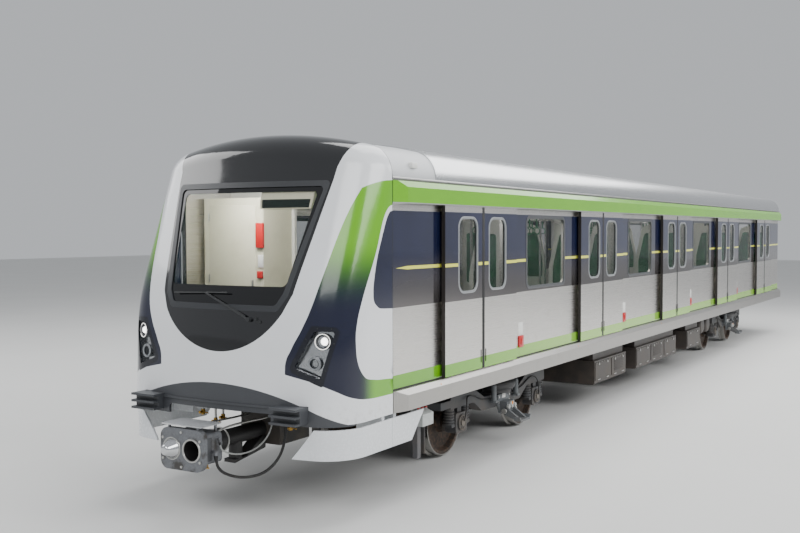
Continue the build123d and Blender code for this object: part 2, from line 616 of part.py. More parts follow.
room = span(-plate_wide, plate_wide, Y_FACE - CONE_REACH, COUPLER_PIVOT, 0, HEIGHT)
coupler = (plate + head + cone + shank + clamp + tread + prop + (arm & room)) - cup
for post in posts:
    coupler = coupler + post
for (x, behind, z), radius in SOCKETS["head"]:
    socket_y = Y_FACE + behind
    coupler = coupler + rod((x, socket_y, z), (x, socket_y, z + SOCKET_HIGH), radius)
    coupler = coupler + span(HEAD[0] / 2 - CUT, x, socket_y - radius, socket_y + radius, z + SOCKET_HIGH / 2,
                             z + SOCKET_HIGH)
write("coupler", coupler - cup)

# Hose and cable that hang between the cab floor and the coupler's head, each in a node of its own
CORDS = {
    "coupler_hose": (14, (
        # x, how far behind the coupler's face, z
        (600, 830, 1000),
        (600, 830, 800),
        (574, 776, 560),
        (498, 615, 410),
        (388, 409, 398),
        (309, 238, 470),
        (275, 170, 560),
        (275, 170, 655),
    )),
    "coupler_cable": (8, (
        (430, 830, 1010),
        (430, 830, 880),
        (414, 772, 740),
        (380, 647, 642),
        (329, 484, 610),
        (290, 339, 640),
        (262, 240, 700),
        (262, 240, 770),
    )),
}
ARC_SHARE = 0.45                 # of the shorter run beside each corner
for cord_name, (cord_radius, table) in CORDS.items():
    route = [Vector(x, Y_FACE + behind, z) for x, behind, z in table]
    radii = []
    for before, here, after in zip(route, route[1:], route[2:]):
        turn = math.radians((here - before).get_angle(after - here))
        shorter = min((here - before).length, (after - here).length)
        radii.append(ARC_SHARE * shorter / math.tan(turn / 2))
    line = FilletPolyline(*route, radius=radii)
    tube = sweep(Plane(origin=line @ 0, z_dir=line % 0) * Circle(cord_radius), path=line)
    print(cord_name, [round(r) for r in radii], tube.volume / (math.pi * cord_radius ** 2 * line.length))
    write(cord_name, tube)

# Half drawbar at the rear, ending in a bolted flange
DRAWBAR_RADIUS = 70
DRAWBAR_FLANGE = (150, 32)       # radius and thickness
DRAWBAR_BOLTS = (6, 220, 13)     # count, pitch circle and hole radius
flange = rod((0, Y_REAR - DRAWBAR_FLANGE[1], COUPLER_Z), (0, Y_REAR, COUPLER_Z), DRAWBAR_FLANGE[0])
for turn in range(DRAWBAR_BOLTS[0]):
    angle = 2 * math.pi * turn / DRAWBAR_BOLTS[0]
    hx = DRAWBAR_BOLTS[1] / 2 * math.cos(angle)
    hz = COUPLER_Z + DRAWBAR_BOLTS[1] / 2 * math.sin(angle)
    flange = flange - rod((hx, Y_REAR - DRAWBAR_FLANGE[1] - 1, hz), (hx, Y_REAR + 1, hz), DRAWBAR_BOLTS[2])
bar = rod((0, DRAWBAR_PIVOT, COUPLER_Z), (0, Y_REAR - DRAWBAR_FLANGE[1] + 1, COUPLER_Z), DRAWBAR_RADIUS)
write("rear_drawbar", flange + bar)

# Side walls with doorways, windows and the doors' hanging rail
window_z = SIDE_WINDOW_Z + SIDE_WINDOW[1] / 2
COVER_Y = (Y_SEAM + COVER_GAP, Y_BODY_END - COVER_GAP)
rail_y = (COVER_Y[0] + COVER_TAPER + RAIL_FROM_TAPER, COVER_Y[1] - HEADER_WALL)
wall = span(WALL_IN, PANEL_HALF, Y_SEAM, Y_BODY_END, FLOOR_TOP, WALL_TOP)
for y in pair_mid:
    wall = wall - span(WALL_IN - CUT, PANEL_HALF + CUT, y - DOORWAY_WIDTH / 2, y + DOORWAY_WIDTH / 2,
                       FLOOR_TOP - 1, DOORWAY_TOP)
glass_back, glass_thick = SIDE_GLASS
panes = []
for y in panel_mid:
    wall = wall - Pos(0, y, window_z) * rounded_block(*SIDE_WINDOW, SIDE_WINDOW_CORNER,
                                                      WALL_IN - CUT, PANEL_HALF + CUT)
    pane = Pos(0, y, window_z) * rounded_block(SIDE_WINDOW[0] - 2 * FIT, SIDE_WINDOW[1] - 2 * FIT,
                                               SIDE_WINDOW_CORNER - FIT, PANEL_HALF - glass_back - glass_thick,
                                               PANEL_HALF - glass_back)
    panes += [pane, other_side(pane)]
wall = wall + span(PANEL_HALF, PANEL_HALF + RAIL[0], *rail_y, RAIL_TOP - RAIL[1], RAIL_TOP)
write("side_wall_right", wall)
write("side_wall_left", other_side(wall))
write("side_window_panes", *panes)

# Door headers and side sills, both tapered to the nose at the front
z0, z1, z2 = HEADER_Z
taper_end = COVER_Y[0] + COVER_TAPER
taper = prism(((NOSE_HALF, COVER_Y[0] - CUT), (COVER_HALF + CUT, COVER_Y[0] - CUT),
               (COVER_HALF + CUT, taper_end), (COVER_HALF, taper_end), (NOSE_HALF, COVER_Y[0])),
              "Z", SILL_Z[0] - CUT, HEADER_Z[2] + CUT)
box_outline = ((PANEL_HALF, z0), (COVER_HALF, z0), (COVER_HALF, z1), (COVER_HALF - HEADER_BEVEL, z2),
               (PANEL_HALF, z2))
cover_outline = ((PANEL_HALF, z2), (COVER_HALF - HEADER_BEVEL, z2), (COVER_HALF, z1), (COVER_HALF, z0),
                 (COVER_HALF - HEADER_WALL, z0), (COVER_HALF - HEADER_WALL, z1),
                 (COVER_HALF - HEADER_BEVEL - HEADER_WALL, z2 - HEADER_WALL), (PANEL_HALF, z2 - HEADER_WALL))
header = prism(cover_outline, "Y", *COVER_Y) + (prism(box_outline, "Y", COVER_Y[0], taper_end) - taper)
header = (header - taper) + prism(box_outline, "Y", COVER_Y[1] - HEADER_WALL, COVER_Y[1])
write("door_headers", header, other_side(header))
z0, z1, z2 = SILL_Z
sill = prism(((PANEL_HALF, z0), (COVER_HALF, z0), (COVER_HALF, z1), (COVER_HALF - SILL_BEVEL, z2),
              (PANEL_HALF, z2)), "Y", *COVER_Y) - taper
write("side_sills", sill, other_side(sill))

# Roof shell with its lower front panel, its ribs and the wells of the two air-conditioning units
UNIT = (800, 3700, 3440)         # half width, length and lower face
UNIT_Y = {"front": pair_mid[1] - 600, "rear": pair_mid[3] + 600}
UNIT_GAP = 8
UNIT_WALL = 30
UNIT_SET_BACK = 4
FAN = (310, 110, 880)            # radius, depth of its well, and distance from the unit's middle
FAN_RINGS = (0.78, 0.52, 0.26)   # radii of the guard's rings, of the fan's
FAN_WIRE = 14
LOUVRES = (12, 37, 18, 64)       # count, pitch, width and depth below the crown
LOUVRE_HALF = 560
unit_half, unit_long, unit_low = UNIT
step_y = Y_SEAM + ROOF_STEP[0]
roof = (roof_block(ROOF_HALF, 0, WALL_TOP - 10, step_y, Y_BODY_END)
        + roof_block(ROOF_HALF, ROOF_STEP[1], WALL_TOP - 10, Y_SEAM, step_y))
groove_skin = roof_block(ROOF_HALF, -CUT, WALL_TOP, step_y, Y_BODY_END + CUT) - roof_block(
    ROOF_HALF, RIB_DEPTH, WALL_TOP - CUT, step_y - CUT, Y_BODY_END + 2 * CUT)
rib, groove = RIB
strips = []
for i in range(RIB_GROOVES):
    x = rib / 2 + i * (rib + groove)
    strips += [span(side * x, side * (x + groove), step_y + rib, Y_BODY_END - rib, SHOULDER_Z, HEIGHT + CUT)
               for side in (1, -1)]
roof = roof - (groove_skin & Compound(children=strips))
roof = roof - roof_block(ROOF_HALF, ROOF_THICK, WALL_TOP - 20, Y_SEAM - CUT, Y_BODY_END + CUT)
roof = roof & span(-ROOF_HALF, ROOF_HALF, Y_SEAM, Y_BODY_END, WALL_TOP, HEIGHT + 10)
units = []
for y in UNIT_Y.values():
    out = unit_half + UNIT_GAP
    y0, y1 = y - unit_long / 2 - UNIT_GAP, y + unit_long / 2 + UNIT_GAP
    well = span(-out - UNIT_WALL, out + UNIT_WALL, y0 - UNIT_WALL, y1 + UNIT_WALL,
                unit_low - UNIT_WALL, HEIGHT)
    well = well & roof_block(ROOF_HALF, ROOF_THICK / 2, unit_low - 2 * UNIT_WALL, y0 - 2 * UNIT_WALL,
                             y1 + 2 * UNIT_WALL)
    roof = (roof + well) - span(-out, out, y0, y1, unit_low, HEIGHT + CUT)
    unit = roof_block(ROOF_HALF, UNIT_SET_BACK, unit_low, y0 + UNIT_GAP, y1 - UNIT_GAP) & span(
        -unit_half, unit_half, y0, y1, unit_low, HEIGHT)
    for from_middle in (-FAN[2], FAN[2]):
        yf = y + from_middle
        well_low = HEIGHT - FAN[1]
        unit = unit - rod((0, yf, well_low), (0, yf, HEIGHT + CUT), FAN[0])
        guard_low, guard_high = HEIGHT - 3.4 * FAN_WIRE, HEIGHT - 2.4 * FAN_WIRE
        for share in FAN_RINGS:
            ring_out = share * FAN[0]
            unit = unit + (rod((0, yf, guard_low), (0, yf, guard_high), ring_out)
                           - rod((0, yf, guard_low - 1), (0, yf, guard_high + 1), ring_out - FAN_WIRE))
        for turn in (0, 60, 120):
            unit = unit + Pos(0, yf, (guard_low + guard_high) / 2) * Rot(0, 0, turn) * Box(
                2 * FAN[0] + 4, FAN_WIRE, guard_high - guard_low)
        unit = unit + rod((0, yf, well_low - 1), (0, yf, guard_low + 1), 3.5 * FAN_WIRE)
    count, pitch, wide, deep = LOUVRES
    for i in range(count):
        ys = y + (i - (count - 1) / 2) * pitch
        unit = unit - span(-LOUVRE_HALF, LOUVRE_HALF, ys - wide / 2, ys + wide / 2, HEIGHT - deep, HEIGHT + CUT)
    units.append(unit)
write("roof", roof)
write("roof_units", *units)

# Rear bulkhead and gangway hood
GANGWAY = (1300, 2050)           # passage, wide and high
GANGWAY_CORNER = 120
HOOD = (70, 50)                  # thickness of the hood, and how far its folds stand out
HOOD_FOLDS = 5
END_WALL_SIDE = 10               # clear of the side walls
gang_half, gang_top = GANGWAY[0] / 2, FLOOR_TOP + GANGWAY[1]


def passage(grow, y0, y1, lower=0):
    """Gangway passage as a block along the car, grown all round."""
    return prism(both_halves(((gang_half + grow, FLOOR_TOP - lower), (gang_half + grow, gang_top + grow,
                                                                        GANGWAY_CORNER + grow))), "Y", y0, y1)


end_wall = roof_block(ROOF_HALF, ROOF_THICK, FLOOR_TOP, Y_BODY_END - WALL_THICK, Y_BODY_END)
end_wall = end_wall & span(-WALL_IN, WALL_IN, Y_BODY_END - WALL_THICK, Y_BODY_END, FLOOR_TOP, HEIGHT)
write("end_wall", end_wall - passage(0, Y_BODY_END - WALL_THICK - CUT, Y_BODY_END + CUT, CUT))
hood = passage(HOOD[0], Y_BODY_END, Y_REAR, HOOD[0])
fold_pitch = (Y_REAR - Y_BODY_END) / (HOOD_FOLDS + 0.5)
for i in range(HOOD_FOLDS + 1):
    y = Y_BODY_END + i * fold_pitch
    hood = hood + passage(HOOD[0] + HOOD[1], y, y + fold_pitch / 2, HOOD[0])
write("gangway", hood - passage(0, Y_BODY_END - CUT, Y_REAR + CUT))

# Outside sliding leaves, each with its pane
hook_wide, hook_thick, hook_high = HANGER
slot_wide, slot_high, slot_deep, slot_z = LEAF_SLOT
for k in range(DOORS):
    for end, sign in (("front", -1), ("rear", 1)):
        y0, y1 = sorted((pair_mid[k] + sign * LEAF_SEAM / 2, pair_mid[k] + sign * LEAF_WIDTH))
        wy = pair_mid[k] + sign * (LEAF_WINDOW_FROM_SEAM + LEAF_WINDOW[0] / 2)
        wz = LEAF_WINDOW_Z + LEAF_WINDOW[1] / 2
        leaf = span(LEAF_IN, LEAF_OUT, y0, y1, LEAF_BOTTOM, LEAF_TOP)
        hole = rounded_block(*LEAF_WINDOW, LEAF_WINDOW_CORNER, LEAF_IN - CUT, LEAF_OUT + CUT)
        leaf = leaf - Pos(0, wy, wz) * hole
        slot_y = pair_mid[k] + sign * LEAF_SLOT_FROM_SEAM
        leaf = leaf - span(LEAF_OUT - slot_deep, LEAF_OUT + CUT, slot_y - slot_wide / 2,
                           slot_y + slot_wide / 2, slot_z, slot_z + slot_high)
        for place in HANGER_PLACES:
            y = y0 + place
            leaf = leaf + span(LEAF_OUT - hook_thick, LEAF_OUT, y, y + hook_wide,
                               LEAF_TOP, RAIL_TOP + hook_high)
            leaf = leaf + span(PANEL_HALF + HANGER_OFF_WALL, LEAF_OUT, y, y + hook_wide,
                               RAIL_TOP + FIT, RAIL_TOP + hook_high)
        pane_out = LEAF_OUT - LEAF_GLASS[0]
        pane = Pos(0, wy, wz) * rounded_block(LEAF_WINDOW[0] - 2 * FIT, LEAF_WINDOW[1] - 2 * FIT,
                                              LEAF_WINDOW_CORNER - FIT, pane_out - LEAF_GLASS[1], pane_out)
        write(f"door_right_{k + 1}_{end}", leaf, pane)
        write(f"door_left_{k + 1}_{end}", other_side(leaf), other_side(pane))

# Inside: ceiling, cab bulkhead, cab fittings, draught screens, grab poles and benches
CEILING = (3290, 3110, 15)       # height in the middle, height at the walls, thickness
CEILING_FLAT = (980, 1200)       # half width of the flat middle, where the coves meet the side strips
BULKHEAD_FROM_SEAM = 760
BULKHEAD_THICK = 40
CAB_DOOR = (-380, 520, 2050)     # left edge, right edge and height of the way through the bulkhead
CABINETS = (
    # inner side, outer side, depth, height
    (-1300, -420, 520, 1980),
    (600, 1300, 420, 1750),
)
DESK = (760, 430, 770)           # half width, depth and height of the console under the windscreen
DESK_FROM_FLOOR_END = 60
DISPLAY = (200, 820, 3010)       # left edge, right edge and lower edge of the display's case
DISPLAY_DEEP = 240
DISPLAY_BACK = 60                # behind the nose's face
DISPLAY_TOP = 3315
bulkhead_y = Y_SEAM + BULKHEAD_FROM_SEAM
saloon_front = bulkhead_y + BULKHEAD_THICK
ceil_mid, ceil_side, ceil_thick = CEILING
flat_half, cove_half = CEILING_FLAT
ceiling = prism(((-WALL_IN, ceil_side), (-cove_half, ceil_side), (-flat_half, ceil_mid),
                 (flat_half, ceil_mid), (cove_half, ceil_side), (WALL_IN, ceil_side), (WALL_IN, ceil_side + ceil_thick),
                 (cove_half - ceil_thick / 2, ceil_side + ceil_thick),
                 (flat_half - ceil_thick / 2, ceil_mid + ceil_thick),
                 (-flat_half + ceil_thick / 2, ceil_mid + ceil_thick),
                 (-cove_half + ceil_thick / 2, ceil_side + ceil_thick), (-WALL_IN, ceil_side + ceil_thick)),
                "Y", saloon_front, Y_BODY_END - WALL_THICK)
write("ceiling", ceiling)
door_left, door_right, door_high = CAB_DOOR
bulkhead = span(-WALL_IN, WALL_IN, bulkhead_y, saloon_front, FLOOR_TOP, WALL_TOP)
bulkhead = bulkhead - prism(((door_left, FLOOR_TOP - CUT), (door_right, FLOOR_TOP - CUT),
                             (door_right, FLOOR_TOP + door_high, 60), (door_left, FLOOR_TOP + door_high, 60)),
                            "Y", bulkhead_y - CUT, saloon_front + CUT)
write("cab_bulkhead", bulkhead)
fittings = []
for x0, x1, deep, high in CABINETS:
    cabinet = span(x0, x1, bulkhead_y - deep, bulkhead_y, FLOOR_TOP, FLOOR_TOP + high)
    fittings.append(fillet(cabinet.edges().filter_by(Axis.Z).sort_by(Axis.Y)[:2], 30))
desk_half, desk_deep, desk_high = DESK
desk_front = Y_SEAM - cab_ahead + DESK_FROM_FLOOR_END
desk_top = FLOOR_TOP + desk_high
desk = prism(((desk_front, FLOOR_TOP), (desk_front + 0.6 * desk_deep, FLOOR_TOP),
              (desk_front + 0.7 * desk_deep, desk_top - 210, 60), (desk_front + desk_deep, desk_top - 120, 20),
              (desk_front + desk_deep - 20, desk_top - 70, 15), (desk_front + 0.35 * desk_deep, desk_top, 40),
              (desk_front, desk_top)), "X", -desk_half, desk_half)
fittings.append(desk)
display_y = on_nose(0, DISPLAY[2], 0)[1] + DISPLAY_BACK
case = span(DISPLAY[0], DISPLAY[1], display_y, display_y + DISPLAY_DEEP, DISPLAY[2], DISPLAY_TOP) & inner_form
fittings.append(case)
write("cab_fittings", *fittings)

SCREEN_PANEL = (36, 900)         # thickness, and how near its inner edge comes to the middle of the car
SCREEN_FROM_DOORWAY = 30
SCREEN_LIGHT = (60, 1900, 2750)  # window in the screen: border, lower and upper edge
screen_thick, screen_in = SCREEN_PANEL
border, light_low, light_high = SCREEN_LIGHT
screen = prism(((WALL_IN, 1230), (screen_in + 60, 1230, 40), (screen_in, 1330, 60), (screen_in, 2250, 200),
                (screen_in + 130, 2860, 90), (WALL_IN, 2960)), "Y", 0, screen_thick)
screen = screen - prism(((WALL_IN - border, light_low, 40), (screen_in + border, light_low, 40),
                         (screen_in + border, 2250, 160), (screen_in + 1.9 * border + 60, light_high, 60),
                         (WALL_IN - border, light_high, 40)), "Y", -CUT, screen_thick + CUT)
screens = []
for y in pair_mid:
    for place in (y - DOORWAY_WIDTH / 2 - SCREEN_FROM_DOORWAY - screen_thick,
                  y + DOORWAY_WIDTH / 2 + SCREEN_FROM_DOORWAY):
        screens += [Pos(0, place, 0) * screen, other_side(Pos(0, place, 0) * screen)]
write("draught_screens", *screens)

POLE_RADIUS = 17
POLE_X = 830
RAIL_Z = 2980
poles = []
for y in panel_mid:
    for side in (1, -1):
        x = side * POLE_X
        rack = rod((x, y - 1180, RAIL_Z), (x, y + 1180, RAIL_Z), POLE_RADIUS)
        for dy in (-1100, 0, 1100):
            low = FLOOR_TOP if dy else RAIL_Z
            rack = rack + rod((x, y + dy, low), (x, y + dy, ceil_mid), POLE_RADIUS)
        poles.append(rack)
write("grab_poles", *poles)

BENCH_HALF = 1190
SEATS_PER_BENCH = 5
SEAT = (905, 1560, 1600)         # front edge toward the middle, underside and top of the front edge
seat_front, seat_low, seat_high = SEAT
bench = prism(((seat_front, seat_low, 12), (seat_front, seat_high, 16), (1235, seat_high - 28, 60),
               (1290, 2050, 14), (WALL_IN, 2050), (WALL_IN, seat_low - 60), (1180, seat_low - 40, 40)),
              "Y", -BENCH_HALF, BENCH_HALF)
bench = bench + span(1150, WALL_IN, -BENCH_HALF, BENCH_HALF, FLOOR_TOP, seat_low - 30)
pitch = 2 * BENCH_HALF / SEATS_PER_BENCH
for i in range(1, SEATS_PER_BENCH):
    y = -BENCH_HALF + i * pitch
    bench = bench - span(seat_front - CUT, WALL_IN - 25, y - 5, y + 5, seat_high - 40, 2050 + CUT)
seats = []
for y in panel_mid:
    seats += [Pos(0, y, 0) * bench, other_side(Pos(0, y, 0) * bench)]
write("saloon_seats", *seats)

# Underfloor cases, hung by their necks from the bearers, and the air tanks
CASE_Z = (385, 755)
CASE_IN = 350
CASE_NECK = 45
CASE_LID = (8, 30)               # how far a lid stands proud, and its margin
CASE_TABLE = (
    # start and end from the car's middle, outer half, lids
    (-3420, -1930, 1290, 2),
    (-1380, 1070, 1290, 3),
    (1870, 2870, 1290, 1),
)
TANKS = (
    # place from the car's middle, radius
    (3300, 185),
    (3760, 185),
)
TANK_X = (300, 1240)
neck_top = FLOOR_LOW - BEARERS[2]
case_low, case_high = CASE_Z
lid_proud, lid_margin = CASE_LID
cases = []
for y0, y1, half, lids in CASE_TABLE:
    case = span(CASE_IN, half, y0, y1, case_low, case_high)
    case = chamfer(case.edges().filter_by(Axis.Y).sort_by(Axis.Z)[:2], 25)
    case = case + span(CASE_IN + CASE_NECK, half - CASE_NECK, y0 + CASE_NECK, y1 - CASE_NECK,
                       case_high - 1, neck_top)
    lid_long = (y1 - y0) / lids
    for i in range(lids):
        case = case + span(half - 1, half + lid_proud, y0 + i * lid_long + lid_margin,
                           y0 + (i + 1) * lid_long - lid_margin,
                           case_low + 2 * lid_margin, case_high - lid_margin)
    cases += [case, other_side(case)]
for y, radius in TANKS:
    z = neck_top - 60 - radius
    tank = rod((TANK_X[0], y, z), (TANK_X[1], y, z), radius)
    tank = fillet(tank.edges(), radius / 3)
    for x in (TANK_X[0] + 200, TANK_X[1] - 200):
        tank = tank + span(x, x + 40, y - radius / 2, y + radius / 2, z, neck_top)
    cases += [tank, other_side(tank)]
for y, _ in TANKS:
    hanger = span(TANK_X[0], TANK_X[1], y - 60, y + 60, neck_top, FLOOR_LOW)
    cases += [hanger, other_side(hanger)]
write("equipment_cases", *cases)

# Junction box on its post, behind the right front skirt
BOX = (1240, 1390, 690, 880)     # inner and outer side, lower and upper edge
BOX_FROM_SEAM = (670, 900)
BOX_POST = (60, 70, 330)         # across, along, and its foot's height
BOX_TERMINALS = (3, 16, 22)      # count, radius and height
box_in, box_out, box_low, box_high = BOX
box_y0, box_y1 = Y_SEAM + BOX_FROM_SEAM[0], Y_SEAM + BOX_FROM_SEAM[1]
junction = prism(((box_in, box_low), (box_out, box_low), (box_out, box_high - 60), (box_in, box_high)),
                 "Y", box_y0, box_y1)
junction = junction + span(box_in, box_in + BOX_POST[0], box_y0 + 40, box_y0 + 40 + BOX_POST[1],
                           BOX_POST[2], SILL_Z[0] + 1)
junction = junction + span(box_in, PANEL_HALF - SOLE_BAR, box_y0 + 40, box_y0 + 40 + BOX_POST[1],
                           SILL_Z[0] + 1, FLOOR_LOW)
for i in range(BOX_TERMINALS[0]):
    y = box_y0 + (i + 0.5) * (box_y1 - box_y0) / BOX_TERMINALS[0]
    x = (box_in + box_out) / 2
    junction = junction + rod((x, y, box_high - 60), (x, y, box_high - 30 + BOX_TERMINALS[2]), BOX_TERMINALS[1])
write("junction_box", junction)


def wheelset(y):
    """Axle with its two wheels, turned about the axle's line."""
    inner, outer = WHEEL_INNER, WHEEL_INNER + WHEEL_WIDTH
    web = inner + (WHEEL_WIDTH - WEB_THICK) / 2
    rim = TREAD_RADIUS - RIM_THICK
    journal_in, end = AXLEBOX_IN - 30, AXLEBOX_IN + AXLEBOX[0] - 25
    hub_out = inner + HUB[1] - 15
    profile = (
        (0, 0), (0, AXLE_RADIUS), (inner - 15, AXLE_RADIUS), (inner - 15, HUB[0]), (web, HUB[0] + 20),
        (web - 14, rim - 20), (inner, rim), (inner, FLANGE_RADIUS - 10), (inner + 10, FLANGE_RADIUS),
        (inner + 20, FLANGE_RADIUS), (inner + FLANGE_WIDTH, TREAD_RADIUS), (outer, TREAD_RADIUS - TREAD_CONING),
        (outer, rim), (web + WEB_THICK - 14, rim - 20), (web + WEB_THICK, HUB[0] + 20), (hub_out, HUB[0]),
        (hub_out, AXLE_RADIUS), (journal_in, AXLE_RADIUS), (journal_in, JOURNAL_RADIUS), (end, JOURNAL_RADIUS),
        (end, 0),
    )
    face = make_face(Polyline(*[(x, 0, r) for x, r in profile], close=True))
    half = revolve(face, axis=Axis.X)
    return Pos(0, y, AXLE_Z) * (half + other_side(half))


def air_spring(low, high):
    """Bellows between its foot and its top plate, turned about the vertical."""
    rim = SPRING_RADIUS - 30
    top = high - SPRING_PLATE
    foot_r, foot_h = SPRING_FOOT
    waist = (low + foot_h + top) / 2
    face = make_face(Wire([
        Line((0, 0, low - 1), (foot_r, 0, low - 1)),
        Line((foot_r, 0, low - 1), (foot_r, 0, low + foot_h)),
        Line((foot_r, 0, low + foot_h), (rim, 0, low + foot_h)),
        ThreePointArc((rim, 0, low + foot_h), (SPRING_RADIUS, 0, (low + foot_h + waist) / 2), (rim, 0, waist)),
        ThreePointArc((rim, 0, waist), (SPRING_RADIUS, 0, (top + waist) / 2), (rim, 0, top)),
        Line((rim, 0, top), (SPRING_RADIUS, 0, top)),
        Line((SPRING_RADIUS, 0, top), (SPRING_RADIUS, 0, high)),
        Line((SPRING_RADIUS, 0, high), (0, 0, high)),
        Line((0, 0, high), (0, 0, low - 1)),
    ]))
    return revolve(face, axis=Axis.Z)


def side_beam(yc, leading):
    """Side beam of a bogie on the right, low between the wheels and raised over the axleboxes."""
    dip, rise = BEAM_DIP
    (mid_low, mid_high), (end_low, end_high) = BEAM_MIDDLE, BEAM_RAISED
    beam = prism(((yc - BEAM_END, end_low, 20), (yc - rise, end_low, 120), (yc - dip, mid_low, 120),
                  (yc + dip, mid_low, 120), (yc + rise, end_low, 120), (yc + BEAM_END, end_low, 20),
                  (yc + BEAM_END, end_high, 30), (yc + rise - 60, end_high, 120), (yc + dip - 60, mid_high, 120),
                  (yc - dip + 60, mid_high, 120), (yc - rise + 60, end_high, 120), (yc - BEAM_END, end_high, 30)),
                 "X", BEAM_IN, BEAM_IN + BEAM_WIDE)
    for axle in (-1, 1):
        ya = yc + axle * WHEELBASE / 2
        beam = beam + axlebox(ya)
        shoe_y = ya - axle * (TREAD_RADIUS + SHOE_CLEAR)
        shoe = span(WHEEL_INNER + FLANGE_WIDTH, WHEEL_INNER + FLANGE_WIDTH + BRAKE_SHOE[1],
                    shoe_y, shoe_y - axle * (BRAKE_SHOE[0] + 60), AXLE_Z - 60, AXLE_Z + BRAKE_SHOE[2] - 60)
        shoe = shoe - rod((WHEEL_INNER, ya, AXLE_Z), (BEAM_IN, ya, AXLE_Z), TREAD_RADIUS + SHOE_CLEAR)
        shoe_back = shoe_y - axle * (BRAKE_SHOE[0] + 60)
        carrier = span(WHEEL_INNER + FLANGE_WIDTH, BEAM_IN + 1, shoe_back + axle * 30, shoe_back - axle * 50,
                       AXLE_Z + 60, AXLE_Z + 130)
        beam = beam + shoe + carrier
    if leading:
        from_pivot, foot, thick = GUARD
        y_guard = yc - from_pivot
        beam = beam + span(BEAM_IN, BEAM_IN + BEAM_WIDE, y_guard, yc - BEAM_END + 40, end_low + 20, end_high - 30)
        beam = beam + span(GUARD_X[0], BEAM_IN + 1, y_guard, y_guard + thick, end_low + 20, end_high - 30)
        beam = beam + span(GUARD_X[0], GUARD_X[1], y_guard, y_guard + thick, foot, end_low + 21)
    return beam


def axlebox(ya):
    """Axlebox with its cover, its two wings and the conical springs up to the side beam."""
    wing_reach, wing_thick = BOX_WING
    x0, x1 = AXLEBOX_IN, AXLEBOX_IN + AXLEBOX[0]
    mid_x = (x0 + x1) / 2
    low, high = AXLE_Z - AXLEBOX[2] / 2, AXLE_Z + AXLEBOX[2] / 2
    box = prism(((ya - AXLEBOX[1] / 2, low, 60), (ya + AXLEBOX[1] / 2, low, 60), (ya + AXLEBOX[1] / 2, high, 30),
                 (ya - AXLEBOX[1] / 2, high, 30)), "X", x0, x1)
    wing_z = AXLE_Z - wing_thick
    box = box + span(x0 + 10, x1 - 10, ya - wing_reach, ya + wing_reach, wing_z, wing_z + wing_thick)
    for side in (-1, 1):
        ys = ya + side * (wing_reach - PRIMARY_SPRING[0] / 2)
        cone = Pos(mid_x, ys, wing_z + wing_thick - 1) * Cone(PRIMARY_SPRING[0] * 0.8, PRIMARY_SPRING[1],
                                                             BEAM_RAISED[0] - wing_z - wing_thick + 2, align=base)
        box = box + cone
    box = box + span(x0 + 30, x1 - 30, ya - 50, ya + 50, high - 1, BEAM_RAISED[0] + 1)
    box = box + rod((x1 - 1, ya, AXLE_Z), (x1 + AXLEBOX_COVER[1], ya, AXLE_Z), AXLEBOX_COVER[0])
    return box - rod((x0 - CUT, ya, AXLE_Z), (x1 - 20, ya, AXLE_Z), JOURNAL_RADIUS + FIT)


